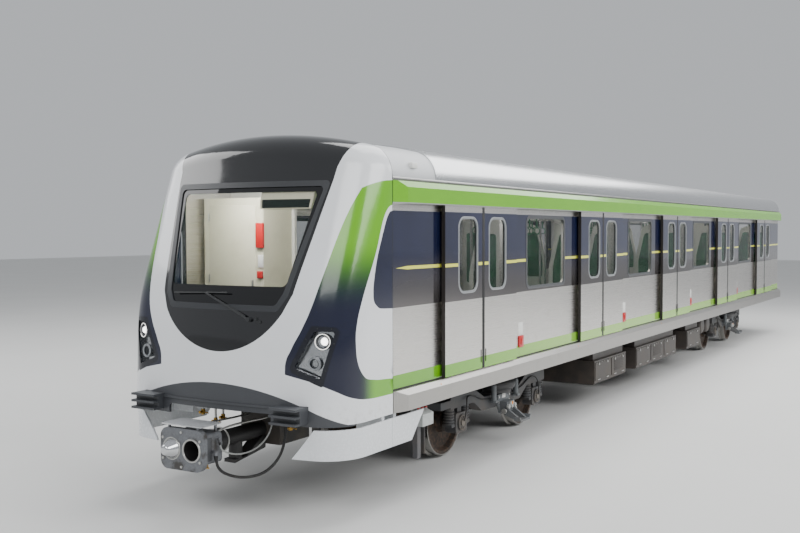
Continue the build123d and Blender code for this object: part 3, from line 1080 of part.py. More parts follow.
# Bogies
for name, yc in Y_PIVOTS.items():
    beam = side_beam(yc, name == "front")
    frame = beam + other_side(beam)
    for side in (-1, 1):
        y = yc + side * TRANSOM_FROM_PIVOT
        frame = frame + rod((-BEAM_IN - 10, y, TRANSOM_Z), (BEAM_IN + 10, y, TRANSOM_Z), TRANSOM_RADIUS)
    block = span(-CENTRE_BLOCK[0] / 2, CENTRE_BLOCK[0] / 2, yc - CENTRE_BLOCK[1] / 2, yc + CENTRE_BLOCK[1] / 2,
                 TRANSOM_Z - CENTRE_BLOCK[2] / 2, TRANSOM_Z + CENTRE_BLOCK[2] / 2)
    frame = frame + fillet(block.edges().filter_by(Axis.Z), 40)
    frame = frame - rod((0, yc, TRANSOM_Z - 200), (0, yc, TRANSOM_Z + 200), PIN_RADIUS + FIT)
    for side in (-1, 1):
        spring = Pos(side * SPRING_X, yc, 0) * air_spring(BEAM_MIDDLE[1], bolster_low - SPRING_CLEAR)
        frame = frame + spring
    write(f"bogie_frame_{name}", frame)

    motors = []
    for axle in (-1, 1):
        ya = yc + axle * WHEELBASE / 2
        ym = yc + axle * MOTOR_FROM_PIVOT
        x0 = -axle * (GEAR_CASE_X - GEAR_CASE[0] / 2)
        motor = rod((x0, ym, MOTOR_Z), (x0 + axle * MOTOR[1], ym, MOTOR_Z), MOTOR[0])
        motor = chamfer(motor.edges().filter_by(GeomType.CIRCLE), 30)
        x1 = x0 - axle * GEAR_CASE[0]
        gear_x0, gear_x1 = sorted((x0 + axle, x1))
        shell_case = rod((gear_x0, ya, AXLE_Z), (gear_x1, ya, AXLE_Z), GEAR_CASE[1])
        shell_case = shell_case + rod((gear_x0, ym, MOTOR_Z), (gear_x1, ym, MOTOR_Z), GEAR_CASE[1] * 0.7)
        y_low, y_high = sorted((ya, ym))
        shell_case = shell_case + span(gear_x0, gear_x1, y_low, y_high, MOTOR_Z - GEAR_CASE[1] * 0.7,
                                       MOTOR_Z + GEAR_CASE[1] * 0.7)
        unit = motor + shell_case
        unit = unit - rod((gear_x0 - CUT, ya, AXLE_Z), (gear_x1 + CUT, ya, AXLE_Z), AXLE_RADIUS + AXLE_CLEAR)
        y_transom = yc + axle * TRANSOM_FROM_PIVOT
        hang_x0 = x0 + axle * 120
        hang = span(hang_x0, hang_x0 + axle * (MOTOR[1] - 240), y_transom, ym, MOTOR_Z + 90, MOTOR_Z + 140)
        unit = unit + hang
        cutter = rod((-BEAM_IN, y_transom, TRANSOM_Z), (BEAM_IN, y_transom, TRANSOM_Z), TRANSOM_RADIUS)
        motors.append(unit - cutter)
    write(f"traction_motors_{name}", *motors)

    shoe_x0, shoe_x1 = SHOE_GEAR_X
    plate_long, plate_thick = SHOE_GEAR_PLATE
    bracket = prism(((yc - plate_long / 2, BEAM_MIDDLE[1] - 20, 20), (yc - plate_long / 2, BEAM_MIDDLE[0] + 30, 20),
                     (yc - plate_long / 4, SHOE_GEAR_Z + 60, 30), (yc + plate_long / 4, SHOE_GEAR_Z + 60, 30),
                     (yc + plate_long / 2, BEAM_MIDDLE[0] + 30, 20), (yc + plate_long / 2, BEAM_MIDDLE[1] - 20, 20)),
                    "X", shoe_x0, shoe_x0 + plate_thick)
    bracket = bracket + span(shoe_x0 + plate_thick - 1, shoe_x0 + 130, yc - 110, yc + 110,
                             SHOE_GEAR_Z + 90, SHOE_GEAR_Z + 230)
    pivot_x = shoe_x0 + 110
    bracket = bracket + rod((pivot_x, yc - 150, SHOE_GEAR_Z + 110), (pivot_x, yc + 150, SHOE_GEAR_Z + 110), 24)
    for dy in (-110, 70):
        bracket = bracket + prism(((pivot_x - 26, SHOE_GEAR_Z + 136, 15), (pivot_x - 26, SHOE_GEAR_Z + 60, 15),
                                   (shoe_x1 - 90, SHOE_GEAR_Z - 4, 8), (shoe_x1 - 40, SHOE_GEAR_Z - 4, 8),
                                   (shoe_x1 - 40, SHOE_GEAR_Z + 22, 8), (pivot_x + 30, SHOE_GEAR_Z + 136, 15)),
                                  "Y", yc + dy, yc + dy + 40)
    bracket = bracket + prism(((yc - 170, SHOE_GEAR_Z + 40), (yc - 130, SHOE_GEAR_Z - 12, 15),
                               (yc + 130, SHOE_GEAR_Z - 12, 15), (yc + 170, SHOE_GEAR_Z + 40),
                               (yc + 150, SHOE_GEAR_Z + 52), (yc + 118, SHOE_GEAR_Z + 14, 12),
                               (yc - 118, SHOE_GEAR_Z + 14, 12), (yc - 150, SHOE_GEAR_Z + 52)),
                              "X", shoe_x1 - 100, shoe_x1)
    write(f"collector_gear_{name}", bracket, other_side(bracket))

    for axle, tag in ((-1, "leading"), (1, "trailing")):
        write(f"wheelset_{name}_{tag}", wheelset(yc + axle * WHEELBASE / 2))
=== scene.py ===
import logging
import math
from dataclasses import dataclass
from enum import Enum
from functools import cached_property, reduce
from typing import Iterable, Optional, Sequence, Union

import bmesh
import bpy
from mathutils import Matrix, Vector
from mathutils.bvhtree import BVHTree


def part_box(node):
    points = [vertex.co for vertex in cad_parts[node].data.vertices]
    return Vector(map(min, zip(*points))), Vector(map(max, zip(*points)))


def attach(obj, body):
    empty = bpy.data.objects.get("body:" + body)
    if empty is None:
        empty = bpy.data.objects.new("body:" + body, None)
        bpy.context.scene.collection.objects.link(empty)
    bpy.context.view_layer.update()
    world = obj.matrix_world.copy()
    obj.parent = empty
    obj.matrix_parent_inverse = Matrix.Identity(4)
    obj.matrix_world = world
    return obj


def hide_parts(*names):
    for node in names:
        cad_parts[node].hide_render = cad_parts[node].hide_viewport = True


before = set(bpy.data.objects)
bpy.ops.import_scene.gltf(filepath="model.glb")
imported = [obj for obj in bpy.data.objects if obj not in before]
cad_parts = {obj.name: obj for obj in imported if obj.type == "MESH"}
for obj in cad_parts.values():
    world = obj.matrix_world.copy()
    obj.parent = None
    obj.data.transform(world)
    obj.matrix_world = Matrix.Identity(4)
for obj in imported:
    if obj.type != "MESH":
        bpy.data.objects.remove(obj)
LOG = logging.getLogger("metro_car")
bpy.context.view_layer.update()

Socket = bpy.types.NodeSocket
Value = Union[float, Socket]
Key = Union[int, str]
Colour = tuple[float, float, float, float]
Shades = tuple[Colour, Colour]
Point = Sequence[float]
Pair = tuple[float, float]
Triple = tuple[float, float, float]
Pairs = tuple[Pair, ...]
Triples = tuple[Triple, ...]

# Places along and across the car that several sub-assemblies share, in metres
SEAM_Y = -9.55
BODY_END_Y = 10.77
FACE_Y = -11.03
PAIR_PITCH = 4.05
PAIR_MIDDLES = tuple(-7.61 + PAIR_PITCH * k for k in range(5))
PANEL_MIDDLES = tuple(y + PAIR_PITCH / 2 for y in PAIR_MIDDLES[:-1])
JOINT_FRONT = SEAM_Y - 0.007
JOINT_REAR = SEAM_Y + 0.006
PANEL_X = 1.400
LEAF_X = 1.474
AXLE_Z = 0.453
AXLES = {("front", "leading"): -7.375, ("front", "trailing"): -5.125,
         ("rear", "leading"): 5.125, ("rear", "trailing"): 7.375}
PIVOTS = {"front": -6.25, "rear": 6.25}

# Directions in the car's frame, whose nose looks along -Y
FORWARD = (0, -1, 0)
BACK = (0, 1, 0)
UP = (0, 0, 1)
DOWN = (0, 0, -1)

# Vertices nearer than this, in metres, are one
MERGE = 1e-6


class Side(Enum):
    """The two sides of the car, with the sign of X on each."""

    RIGHT = 1
    LEFT = -1

    @property
    def tag(self) -> str:
        """The side's name as names of pieces have it."""
        return self.name.lower()


class Axis(Enum):
    """The car's own axes."""

    X = 0
    Y = 1
    Z = 2


def srgb(red: int, green: int, blue: int) -> Colour:
    """Turns a display colour into the linear one that a shader takes.

    Args:
        red: Red from 0 to 255.
        green: Green from 0 to 255.
        blue: Blue from 0 to 255.

    Returns:
        The linear colour, opaque.
    """
    def linear(value: int) -> float:
        """One channel from 0 to 255 as a linear share."""
        share = value / 255
        return share / 12.92 if share <= 0.04045 else ((share + 0.055) / 1.055) ** 2.4
    return linear(red), linear(green), linear(blue), 1.0


class Graph:
    """A material's node tree, built by short calls in the car's own frame."""

    def __init__(self, name: str) -> None:
        """Starts a material with one Principled shader.

        Args:
            name: The material's name.
        """
        self.material = bpy.data.materials.new(name)
        self.material.use_nodes = True
        self.tree = self.material.node_tree
        self.shader = self.tree.nodes["Principled BSDF"]

    def feed(self, socket: Socket, value: Union[Value, Colour]) -> None:
        """Links a socket to another or gives it a plain value."""
        if isinstance(value, bpy.types.NodeSocket):
            self.tree.links.new(value, socket)
        else:
            socket.default_value = value

    def node(self, kind: str, inputs: dict[Key, Union[Value, Colour]], **settings: str) -> bpy.types.Node:
        """Adds a node.

        Args:
            kind: Its type's name.
            inputs: What each of its inputs is fed.
            **settings: Its properties.

        Returns:
            The new node.
        """
        made = self.tree.nodes.new(kind)
        for key, value in settings.items():
            setattr(made, key, value)
        for key, value in inputs.items():
            self.feed(made.inputs[key], value)
        return made

    def put(self, name: str, value: Union[Value, Colour]) -> None:
        """Feeds one of the Principled shader's inputs."""
        self.feed(self.shader.inputs[name], value)

    def surface(self, colour: Union[Colour, Socket], rough: Value, metal: Value = 0.0, coat: Value = 0.0,
                coat_rough: float = 0.05, specular: float = 0.5) -> None:
        """Feeds the inputs that every finish has, where the coat is the weight of a clear one."""
        for name, value in (("Base Color", colour), ("Metallic", metal), ("Roughness", rough),
                            ("Specular IOR Level", specular), ("Coat Weight", coat),
                            ("Coat Roughness", coat_rough)):
            self.put(name, value)

    @cached_property
    def place(self) -> Socket:
        """The surface point in the car's frame."""
        return self.node("ShaderNodeTexCoord", {}).outputs["Object"]

    @cached_property
    def axes(self) -> tuple[Socket, Socket, Socket]:
        """The surface point's x, y and z in the car's frame."""
        return tuple(self.node("ShaderNodeSeparateXYZ", {0: self.place}).outputs)

    def math(self, operation: str, a: Value, b: Value = 0.0) -> Socket:
        """One arithmetic step on one or two values."""
        return self.node("ShaderNodeMath", {0: a, 1: b}, operation=operation).outputs[0]

    def plus(self, a: Value, b: Value) -> Socket:
        """The sum of two values."""
        return self.math("ADD", a, b)

    def less(self, a: Value, b: Value) -> Socket:
        """The first value less the second."""
        return self.math("SUBTRACT", a, b)

    def size(self, value: Value) -> Socket:
        """A value without its sign."""
        return self.math("ABSOLUTE", value)

    def length(self, a: Value, b: Value) -> Socket:
        """How long a flat step is that goes so far in two directions."""
        return self.math("SQRT", self.plus(self.both(a, a), self.both(b, b)))

    def smooth(self, value: Value, low: float, high: float) -> Socket:
        """Eases from 0 at low to 1 at high, where low may be the larger."""
        return self.node("ShaderNodeMapRange", {"Value": value, "From Min": low, "From Max": high},
                         interpolation_type="SMOOTHSTEP").outputs["Result"]

    def over(self, value: Value, limit: Value, soft: float = 0.001) -> Socket:
        """1 where value is above limit, 0 below it, with a soft edge."""
        return self.smooth(self.less(value, limit), -soft, soft)

    def under(self, value: Value, limit: Value, soft: float = 0.001) -> Socket:
        """1 where value is below limit, 0 above it, with a soft edge."""
        return self.outside(self.over(value, limit, soft))

    def both(self, *masks: Value) -> Value:
        """The product of several masks or values."""
        return reduce(lambda a, b: self.math("MULTIPLY", a, b), masks)

    def either(self, a: Value, b: Value) -> Socket:
        """The larger of two masks."""
        return self.math("MAXIMUM", a, b)

    def outside(self, mask: Value) -> Socket:
        """The mask turned inside out."""
        return self.less(1.0, mask)

    def band(self, value: Value, low: float, high: float, soft: float = 0.001) -> Socket:
        """1 between two limits."""
        return self.both(self.over(value, low, soft), self.under(value, high, soft))

    def curve(self, value: Value, points: Pairs) -> Socket:
        """Runs a value through a smooth curve on a few points.

        Args:
            value: The value looked up.
            points: Pairs of value and result, in rising order of value.

        Returns:
            The result's socket, held level past both ends.
        """
        low, high = points[0][0], points[-1][0]
        floor = min(p[1] for p in points)
        rise = max(p[1] for p in points) - floor
        share = self.node("ShaderNodeMapRange", {"Value": value, "From Min": low, "From Max": high})
        step = self.node("ShaderNodeFloatCurve", {"Value": share.outputs["Result"]})
        line = step.mapping.curves[0]
        for at, result in points[1:-1]:
            line.points.new((at - low) / (high - low), (result - floor) / rise)
        line.points[0].location = (0, (points[0][1] - floor) / rise)
        line.points[-1].location = (1, (points[-1][1] - floor) / rise)
        for point in line.points:
            point.handle_type = "AUTO_CLAMPED"
        step.mapping.update()
        return self.plus(self.both(step.outputs[0], rise), floor)

    def mix(self, factor: Value, a: Union[Colour, Socket], b: Union[Colour, Socket]) -> Socket:
        """Mixes two colours, the first at 0 and the second at 1."""
        return self.node("ShaderNodeMix", {0: factor, 6: a, 7: b}, data_type="RGBA").outputs[2]

    def blend(self, factor: Value, a: Value, b: Value) -> Socket:
        """Mixes two values, the first at 0 and the second at 1."""
        return self.node("ShaderNodeMix", {0: factor, 2: a, 3: b}, data_type="FLOAT").outputs[0]

    def noise(self, scale: float, detail: float, stretch: Point = (1, 1, 1)) -> Socket:
        """Noise in the car's frame, from 0 to 1, drawn out along an axis by a small stretch number."""
        place = self.node("ShaderNodeMapping", {"Vector": self.place, "Scale": stretch}).outputs[0]
        inputs = {"Vector": place, "Scale": scale, "Detail": detail}
        return self.node("ShaderNodeTexNoise", inputs).outputs["Fac"]

    def bump(self, height: Value, depth: float, strength: float) -> None:
        """Gives the surface fine relief, of a depth in metres and a strength from 0 to 1."""
        relief = {"Height": height, "Distance": depth, "Strength": strength}
        self.put("Normal", self.node("ShaderNodeBump", relief).outputs[0])

    def facing(self, axis: Axis) -> Socket:
        """1 where the surface faces an axis, either way, 0 where it faces another, with a soft edge."""
        normal = self.node("ShaderNodeTexCoord", {}).outputs["Normal"]
        parts = self.node("ShaderNodeSeparateXYZ", {0: normal}).outputs
        return self.over(self.size(parts[axis.value]), 0.7, 0.05)

    def rounded_hole(self, across: Value, up: Value, half: Pair, corner: float) -> Socket:
        """Signed distance from a rounded rectangle's edge, negative inside it.

        Args:
            across: Distance from its middle, across.
            up: Distance from its middle, upward.
            half: Half its width and height.
            corner: Its corner radius.

        Returns:
            The distance's socket, in metres.
        """
        past = [self.math("MAXIMUM", self.less(self.size(value), size - corner), 0.0)
                for value, size in zip((across, up), half)]
        return self.less(self.length(*past), corner)


# Colours of the car, as they look in daylight
NAVY = srgb(13, 18, 42)
NAVY_LIGHT = srgb(34, 40, 70)
LEAF_GREEN = srgb(98, 166, 10)
# Lighter green of the painted sheen on the side's foot band
GREEN_SHEEN = srgb(140, 190, 70)
DEEP_GREEN = srgb(20, 62, 30)
SEAM_DARK = srgb(22, 22, 23)
STRIPE_YELLOW = srgb(226, 226, 96)
PANEL_WHITE = srgb(228, 230, 232)
STEEL = (0.66, 0.65, 0.64, 1.0)
DUST = srgb(112, 98, 82)


@dataclass(frozen=True)
class Finish:
    """What a surface is, where each kind of finish paints its own material."""

    name: str

    def build(self) -> bpy.types.Material:
        """Makes the material.

        Returns:
            The finished material.
        """
        g = Graph(self.name)
        self.paint(g)
        return g.material

    def paint(self, g: Graph) -> None:
        """Feeds the material's shader."""
        raise NotImplementedError(self.name)


@dataclass(frozen=True)
class SideSkin(Finish):
    """Satin stainless side panels with a dark film band, a thin yellow line and a green foot band that turns
    lighter further back as a painted sheen.
    """

    name: str = "side_skin"
    steel: Shades = ((0.70, 0.675, 0.645, 1), (0.78, 0.755, 0.725, 1))
    handled: Colour = (0.68, 0.65, 0.615, 1)
    skin_x: float = 1.385
    film: Pair = (2.005, 2.995)
    film_fade: Pair = (2.66, 2.06)
    film_faded: Colour = srgb(112, 108, 108)
    fade_waver: float = 0.16
    faded_metal: float = 0.85
    line: Pair = (2.390, 2.426)
    line_start: float = -9.43
    line_growth: float = 0.08
    foot: Pair = (1.150, 1.318)
    # Along these places the foot band turns from leaf green to a lighter green: a painted sheen
    foot_sheen: Pair = (-9.5, -4.0)
    # Low and high edge and softness of the crease below the film
    crease: Triple = (1.993, 1.997, 0.0015)
    leaf: bool = False
    leaf_x: float = 1.45
    leaf_window: Pair = (0.378, 2.515)
    leaf_half: Pair = (0.238, 0.431)
    leaf_corner: float = 0.130
    # Dark of the leaf's ends and the hole's rim, also used as painted shade in the finger slot
    leaf_dark: Colour = srgb(32, 27, 24)
    # Distance from the hole's edge, and softness
    pane_edge: Pair = (-0.0012, 0.0003)
    rim_edge: Pair = (0.0015, 0.0005)
    pane_tint: Colour = srgb(24, 34, 32)
    pane_alpha: float = 0.30
    slot_across: Pair = (0.0475, 0.0725)
    slot_up: Pair = (1.251, 1.399)

    def paint(self, g: Graph) -> None:
        """Feeds the shader.

        Args:
            g: The material's nodes.
        """
        x, y, z = g.axes
        grain = g.noise(60, 4, (1, 0.02, 9))
        waves = g.noise(1.6, 2, (1, 1, 0.6))
        handling = g.noise(7, 5)
        steel = g.mix(g.smooth(handling, 0.55, 0.80), g.mix(grain, *self.steel), self.handled)
        out = g.both(g.facing(Axis.X), g.over(g.size(x), self.skin_x))
        film = g.both(out, g.band(z, *self.film))
        low, high = self.line
        tip = g.both(g.less(y, self.line_start), self.line_growth)
        half = g.math("MINIMUM", tip, (high - low) / 2)
        line = g.both(out, g.over(half, g.size(g.less(z, (low + high) / 2))))
        foot = g.both(out, g.band(z, *self.foot))
        thin = g.smooth(g.plus(z, g.both(waves, self.fade_waver)), *self.film_fade)
        colour = g.mix(film, steel, g.mix(thin, g.mix(waves, NAVY, NAVY_LIGHT), self.film_faded))
        # The foot band is painted lighter further back along the car, as sheen
        colour = g.mix(foot, colour, g.mix(g.smooth(y, *self.foot_sheen), LEAF_GREEN, GREEN_SHEEN))
        colour = g.mix(line, colour, STRIPE_YELLOW)
        paint = g.either(g.either(film, line), foot)
        metal = g.either(g.outside(paint), g.both(film, g.outside(line), thin, self.faded_metal))
        rough = g.blend(paint, g.blend(grain, 0.22, 0.34), g.blend(handling, 0.04, 0.10))
        if self.leaf:
            pane, dark = self.leaf_masks(g)
            # Leaf ends and the hole's rim are painted dark, and the finger slot is painted as shade
            colour = g.mix(pane, g.mix(dark, colour, self.leaf_dark), self.pane_tint)
            metal = g.both(metal, g.outside(dark), g.outside(pane))
            rough = g.blend(pane, g.blend(dark, rough, 0.5), 0.03)
            g.put("Alpha", g.blend(pane, 1.0, self.pane_alpha))
        joint = g.under(y, JOINT_REAR)
        g.surface(g.mix(joint, colour, SEAM_DARK), rough, g.both(metal, g.outside(joint)),
                  g.both(paint, 0.35), 0.06)
        crease = g.both(g.band(z, *self.crease), g.outside(paint))
        relief = g.plus(waves, g.both(grain, 0.008))
        g.bump(g.less(relief, g.both(crease, 0.12)), 0.008, 0.30)

    def leaf_masks(self, g: Graph) -> tuple[Socket, Socket]:
        """Finds what is glass and what is dark on a leaf, the same on every leaf.

        Args:
            g: The material's nodes.

        Returns:
            The pane's mask, and that of the leaf's dark ends, the hole's dark rim and the finger slot, which
            is painted shade.
        """
        x, y, z = g.axes
        turn = g.math("DIVIDE", g.less(y, PAIR_MIDDLES[0] - PAIR_PITCH / 2), PAIR_PITCH)
        away = g.both(g.size(g.less(g.math("FRACT", turn), 0.5)), PAIR_PITCH)
        window_y, window_z = self.leaf_window
        gap = g.rounded_hole(g.less(away, window_y), g.less(z, window_z), self.leaf_half, self.leaf_corner)
        pane = g.under(gap, *self.pane_edge)
        end = g.both(g.facing(Axis.Y), g.outside(pane))
        rim = g.both(g.under(gap, *self.rim_edge), g.outside(pane))
        # The finger slot is painted dark as shade
        slot = g.both(g.band(away, *self.slot_across), g.band(z, *self.slot_up),
                      g.over(g.size(x), self.leaf_x))
        return pane, g.either(g.either(end, rim), slot)


@dataclass(frozen=True)
class NosePaint(Finish):
    """Gloss white nose with the sweeping green and navy band and the dark patch behind it.

    Each outline is a short list of points that a smooth curve joins, for one side; both sides are alike.
    """

    name: str = "nose_paint"
    front_edge: Pairs = (
        (1.30, 0.90), (1.40, 0.805), (1.50, 0.806), (1.657, 0.868), (1.867, 0.980), (2.053, 1.052),
        (2.316, 1.110), (2.893, 1.212), (3.191, 1.292), (3.40, 1.36))
    top_edge: Pairs = (
        (-10.30, 3.05), (-10.05, 3.13), (-9.92, 3.191), (-9.80, 3.25), (-9.68, 3.283), (-9.55, 3.296))
    rear_edge: Pairs = (
        (1.270, -9.40), (1.306, -9.56), (1.338, -9.896), (1.391, -10.066), (1.552, -10.152), (1.749, -10.165),
        (1.902, -10.146), (2.051, -10.101), (2.584, -9.848), (2.975, -9.672), (3.058, -9.535), (3.075, -9.40))
    low_edge: Pairs = (
        (-10.52, 1.50), (-10.46, 1.385), (-10.344, 1.272), (-10.183, 1.192), (-9.942, 1.160), (-9.55, 1.153))
    patch_edge: Pairs = (
        (2.008, -9.50), (2.014, -9.60), (2.037, -9.818), (2.166, -9.907), (2.274, -9.899), (2.770, -9.728),
        (2.975, -9.605), (2.995, -9.50))
    patch_z: Pair = (2.009, 2.994)
    patch_x: float = 1.3
    patch_light: Colour = srgb(22, 28, 56)
    navy_to_green: Pair = (2.00, 2.66)
    deep_to_leaf: Pair = (2.10, 2.75)
    tail_y: Pair = (-10.16, -9.86)
    # Height and softness
    tail_top: Pair = (1.75, 0.1)
    white: Colour = srgb(220, 222, 225)
    grime_z: Pair = (0.85, 1.25)
    grime_share: float = 0.35

    def paint(self, g: Graph) -> None:
        """Feeds the shader.

        Args:
            g: The material's nodes.
        """
        x, y, z = g.axes
        wide = g.size(x)
        ahead = g.over(wide, g.curve(z, self.front_edge))
        below = g.over(g.curve(y, self.top_edge), z)
        before = g.over(g.curve(z, self.rear_edge), y)
        above = g.over(z, g.curve(y, self.low_edge))
        band = g.both(ahead, below, before, above)
        patch = g.both(g.over(y, g.curve(z, self.patch_edge)), g.band(z, *self.patch_z),
                       g.over(wide, self.patch_x))
        tail = g.both(g.smooth(y, *self.tail_y), g.under(z, *self.tail_top))
        green = g.mix(g.smooth(z, *self.deep_to_leaf), DEEP_GREEN, LEAF_GREEN)
        sweep = g.mix(g.either(g.smooth(z, *self.navy_to_green), tail), NAVY, g.mix(tail, green, LEAF_GREEN))
        cloud = g.noise(3, 4)
        colour = g.mix(band, g.mix(cloud, self.white, PANEL_WHITE), sweep)
        colour = g.mix(patch, colour, g.mix(cloud, NAVY, self.patch_light))
        colour = g.mix(g.over(y, JOINT_FRONT), colour, SEAM_DARK)
        grime = g.both(g.outside(g.smooth(z, *self.grime_z)), g.smooth(g.noise(18, 5), 0.45, 0.8))
        g.surface(g.mix(g.both(grime, self.grime_share), colour, DUST), g.blend(g.noise(26, 5), 0.12, 0.24),
                  coat=0.30)
        g.bump(g.noise(90, 2), 0.0004, 0.25)


@dataclass(frozen=True)
class Lacquer(Finish):
    """Paint on metal or plastic, finely mottled, with road dust that gathers low down."""

    colour: Colour
    rough: float = 0.45
    metallic: float = 0.0
    spread: float = 0.18
    dust: float = 0.25
    dust_foot: float = 0.1
    dust_top: float = 1.2
    dust_rough: float = 0.75
    grain: float = 40.0
    depth: float = 0.0006
    coat: float = 0.0
    # Below this height the paint has its foot's colour, where the height isn't negative
    foot: float = -1.0
    foot_colour: Colour = (0.08, 0.08, 0.085, 1.0)

    def shade(self, share: float) -> Colour:
        """The paint's colour made lighter or darker."""
        return tuple(min(1.0, c * share) for c in self.colour[:3]) + (1.0,)

    def paint(self, g: Graph) -> None:
        """Feeds the shader.

        Args:
            g: The material's nodes.
        """
        _, _, z = g.axes
        mottle = g.noise(self.grain, 5)
        patches = g.noise(4.5, 4)
        paint = g.mix(mottle, self.shade(1 - self.spread), self.shade(1 + self.spread))
        if self.foot > 0:
            paint = g.mix(g.over(z, self.foot), self.foot_colour, paint)
        low = g.outside(g.smooth(z, self.dust_foot, self.dust_top))
        settled = g.both(low, g.smooth(patches, 0.35, 0.75), self.dust)
        spread = g.blend(mottle, max(0.03, self.rough - 0.08), self.rough + 0.08)
        g.surface(g.mix(settled, paint, DUST), g.blend(settled, spread, self.dust_rough),
                  g.both(g.outside(settled), self.metallic), self.coat)
        g.bump(g.plus(mottle, patches), self.depth, 0.4)


@dataclass(frozen=True)
class Brushed(Finish):
    """Bare stainless sheet brushed along the car, with slow waves and faint stains."""

    colour: Colour = STEEL
    rough: Pair = (0.24, 0.38)
    along: Axis = Axis.Y
    stretch: Pair = (0.02, 9.0)
    stain_share: float = 0.86
    # Ahead of this place the sheet is painted matt
    front_panel_end: float = -99.0
    front_panel: Colour = srgb(196, 198, 200)

    def paint(self, g: Graph) -> None:
        """Feeds the shader.

        Args:
            g: The material's nodes.
        """
        along, across = self.stretch
        grain = g.noise(60, 4, [along if axis is self.along else across for axis in Axis])
        waves = g.noise(1.8, 3)
        stain = g.noise(6, 5)
        dark = tuple(c * self.stain_share for c in self.colour[:3]) + (1.0,)
        matt = g.under(g.axes[1], self.front_panel_end)
        sheet = g.mix(g.smooth(stain, 0.5, 0.85), g.mix(grain, dark, self.colour), dark)
        g.surface(g.mix(matt, sheet, self.front_panel), g.blend(matt, g.blend(grain, *self.rough), 0.5),
                  g.blend(matt, 1.0, 0.25))
        g.bump(g.plus(waves, g.both(grain, 0.04)), 0.006, 0.3)


@dataclass(frozen=True)
class CoverPaint(Finish):
    """The door header: green film over stainless, its lower lip bare."""

    name: str = "header_paint"
    lip: float = 3.078
    face_x: float = 1.402
    green: Colour = srgb(108, 176, 18)

    def paint(self, g: Graph) -> None:
        """Feeds the shader.

        Args:
            g: The material's nodes.
        """
        x, y, z = g.axes
        shade = g.noise(2.2, 3)
        film = g.both(g.over(z, self.lip), g.over(g.size(x), self.face_x))
        joint = g.under(y, JOINT_REAR)
        colour = g.mix(film, STEEL, g.mix(shade, LEAF_GREEN, self.green))
        g.surface(g.mix(joint, colour, SEAM_DARK), g.blend(film, 0.3, g.blend(g.noise(14, 4), 0.14, 0.24)),
                  g.both(g.outside(film), g.outside(joint)), g.both(film, 0.25), 0.08)
        g.bump(shade, 0.006, 0.3)


@dataclass(frozen=True)
class Pane(Finish):
    """Clear safety glass, seen through and glossy, with a light film of dust."""

    tint: Colour
    alpha: float
    dusty: Colour = srgb(90, 92, 90)
    dust_alpha: float = 0.06

    def paint(self, g: Graph) -> None:
        """Feeds the shader.

        Args:
            g: The material's nodes.
        """
        dust = g.smooth(g.noise(9, 5), 0.5, 0.9)
        g.surface(g.mix(dust, self.tint, self.dusty), g.blend(dust, 0.02, 0.09), specular=0.6)
        g.put("Alpha", g.blend(dust, self.alpha, min(1.0, self.alpha + self.dust_alpha)))


@dataclass(frozen=True)
class ScreenGlass(Finish):
    """The windscreen: clear in a rounded area, with a black baked border wider at its foot."""

    name: str = "screen_glass"
    # Height, and half the clear width there
    low: Pair = (2.246, 0.738)
    high: Pair = (3.180, 0.870)
    corner: float = 0.055
    tint: Shades = (srgb(60, 78, 72), srgb(84, 98, 92))
    border: Colour = srgb(8, 9, 11)
    alpha: float = 0.09

    def paint(self, g: Graph) -> None:
        """Feeds the shader.

        Args:
            g: The material's nodes.
        """
        x, _, z = g.axes
        (foot, narrow), (top, wide) = self.low, self.high
        growth = g.both(g.less(z, foot), (wide - narrow) / (top - foot))
        across = g.math("MAXIMUM", g.less(g.size(x), growth), 0.0)
        middle = (foot + top) / 2
        edge = g.rounded_hole(across, g.less(z, middle), (narrow, top - middle), self.corner)
        border = g.over(edge, 0.0, 0.0015)
        haze = g.smooth(g.noise(5, 5), 0.5, 0.9)
        glass = g.mix(haze, *self.tint)
        g.surface(g.mix(border, glass, self.border), g.blend(haze, 0.02, 0.07), specular=0.6)
        g.put("Alpha", g.blend(border, self.alpha, 1.0))


@dataclass(frozen=True)
class Glow(Finish):
    """A lit lamp surface."""

    colour: Colour
    power: float

    def paint(self, g: Graph) -> None:
        """Feeds the shader.

        Args:
            g: The material's nodes.
        """
        g.surface(self.colour, g.blend(g.noise(120, 2), 0.25, 0.45))
        g.put("Emission Color", self.colour)
        g.put("Emission Strength", self.power)


@dataclass(frozen=True)
class WheelSteel(Finish):
    """A wheelset: bright worn tread and flange, dark dusty web, rust brown axle."""

    axle_y: float
    tread: float = 0.410
    turning_marks: float = 420.0
    rust: Shades = (srgb(58, 50, 45), srgb(92, 74, 60))
    worn: Colour = srgb(168, 166, 162)

    def paint(self, g: Graph) -> None:
        """Feeds the shader.

        Args:
            g: The material's nodes.
        """
        _, y, z = g.axes
        reach = g.length(g.less(y, self.axle_y), g.less(z, AXLE_Z))
        bright = g.over(reach, self.tread, 0.004)
        rings = g.math("SINE", g.both(reach, self.turning_marks))
        rust = g.noise(24, 6)
        dark = g.mix(g.smooth(rust, 0.4, 0.7), *self.rust)
        g.surface(g.mix(bright, dark, self.worn), g.blend(bright, 0.62, 0.26), g.blend(bright, 0.35, 1.0))
        g.bump(g.plus(rust, g.both(rings, 0.1)), 0.0012, 0.5)


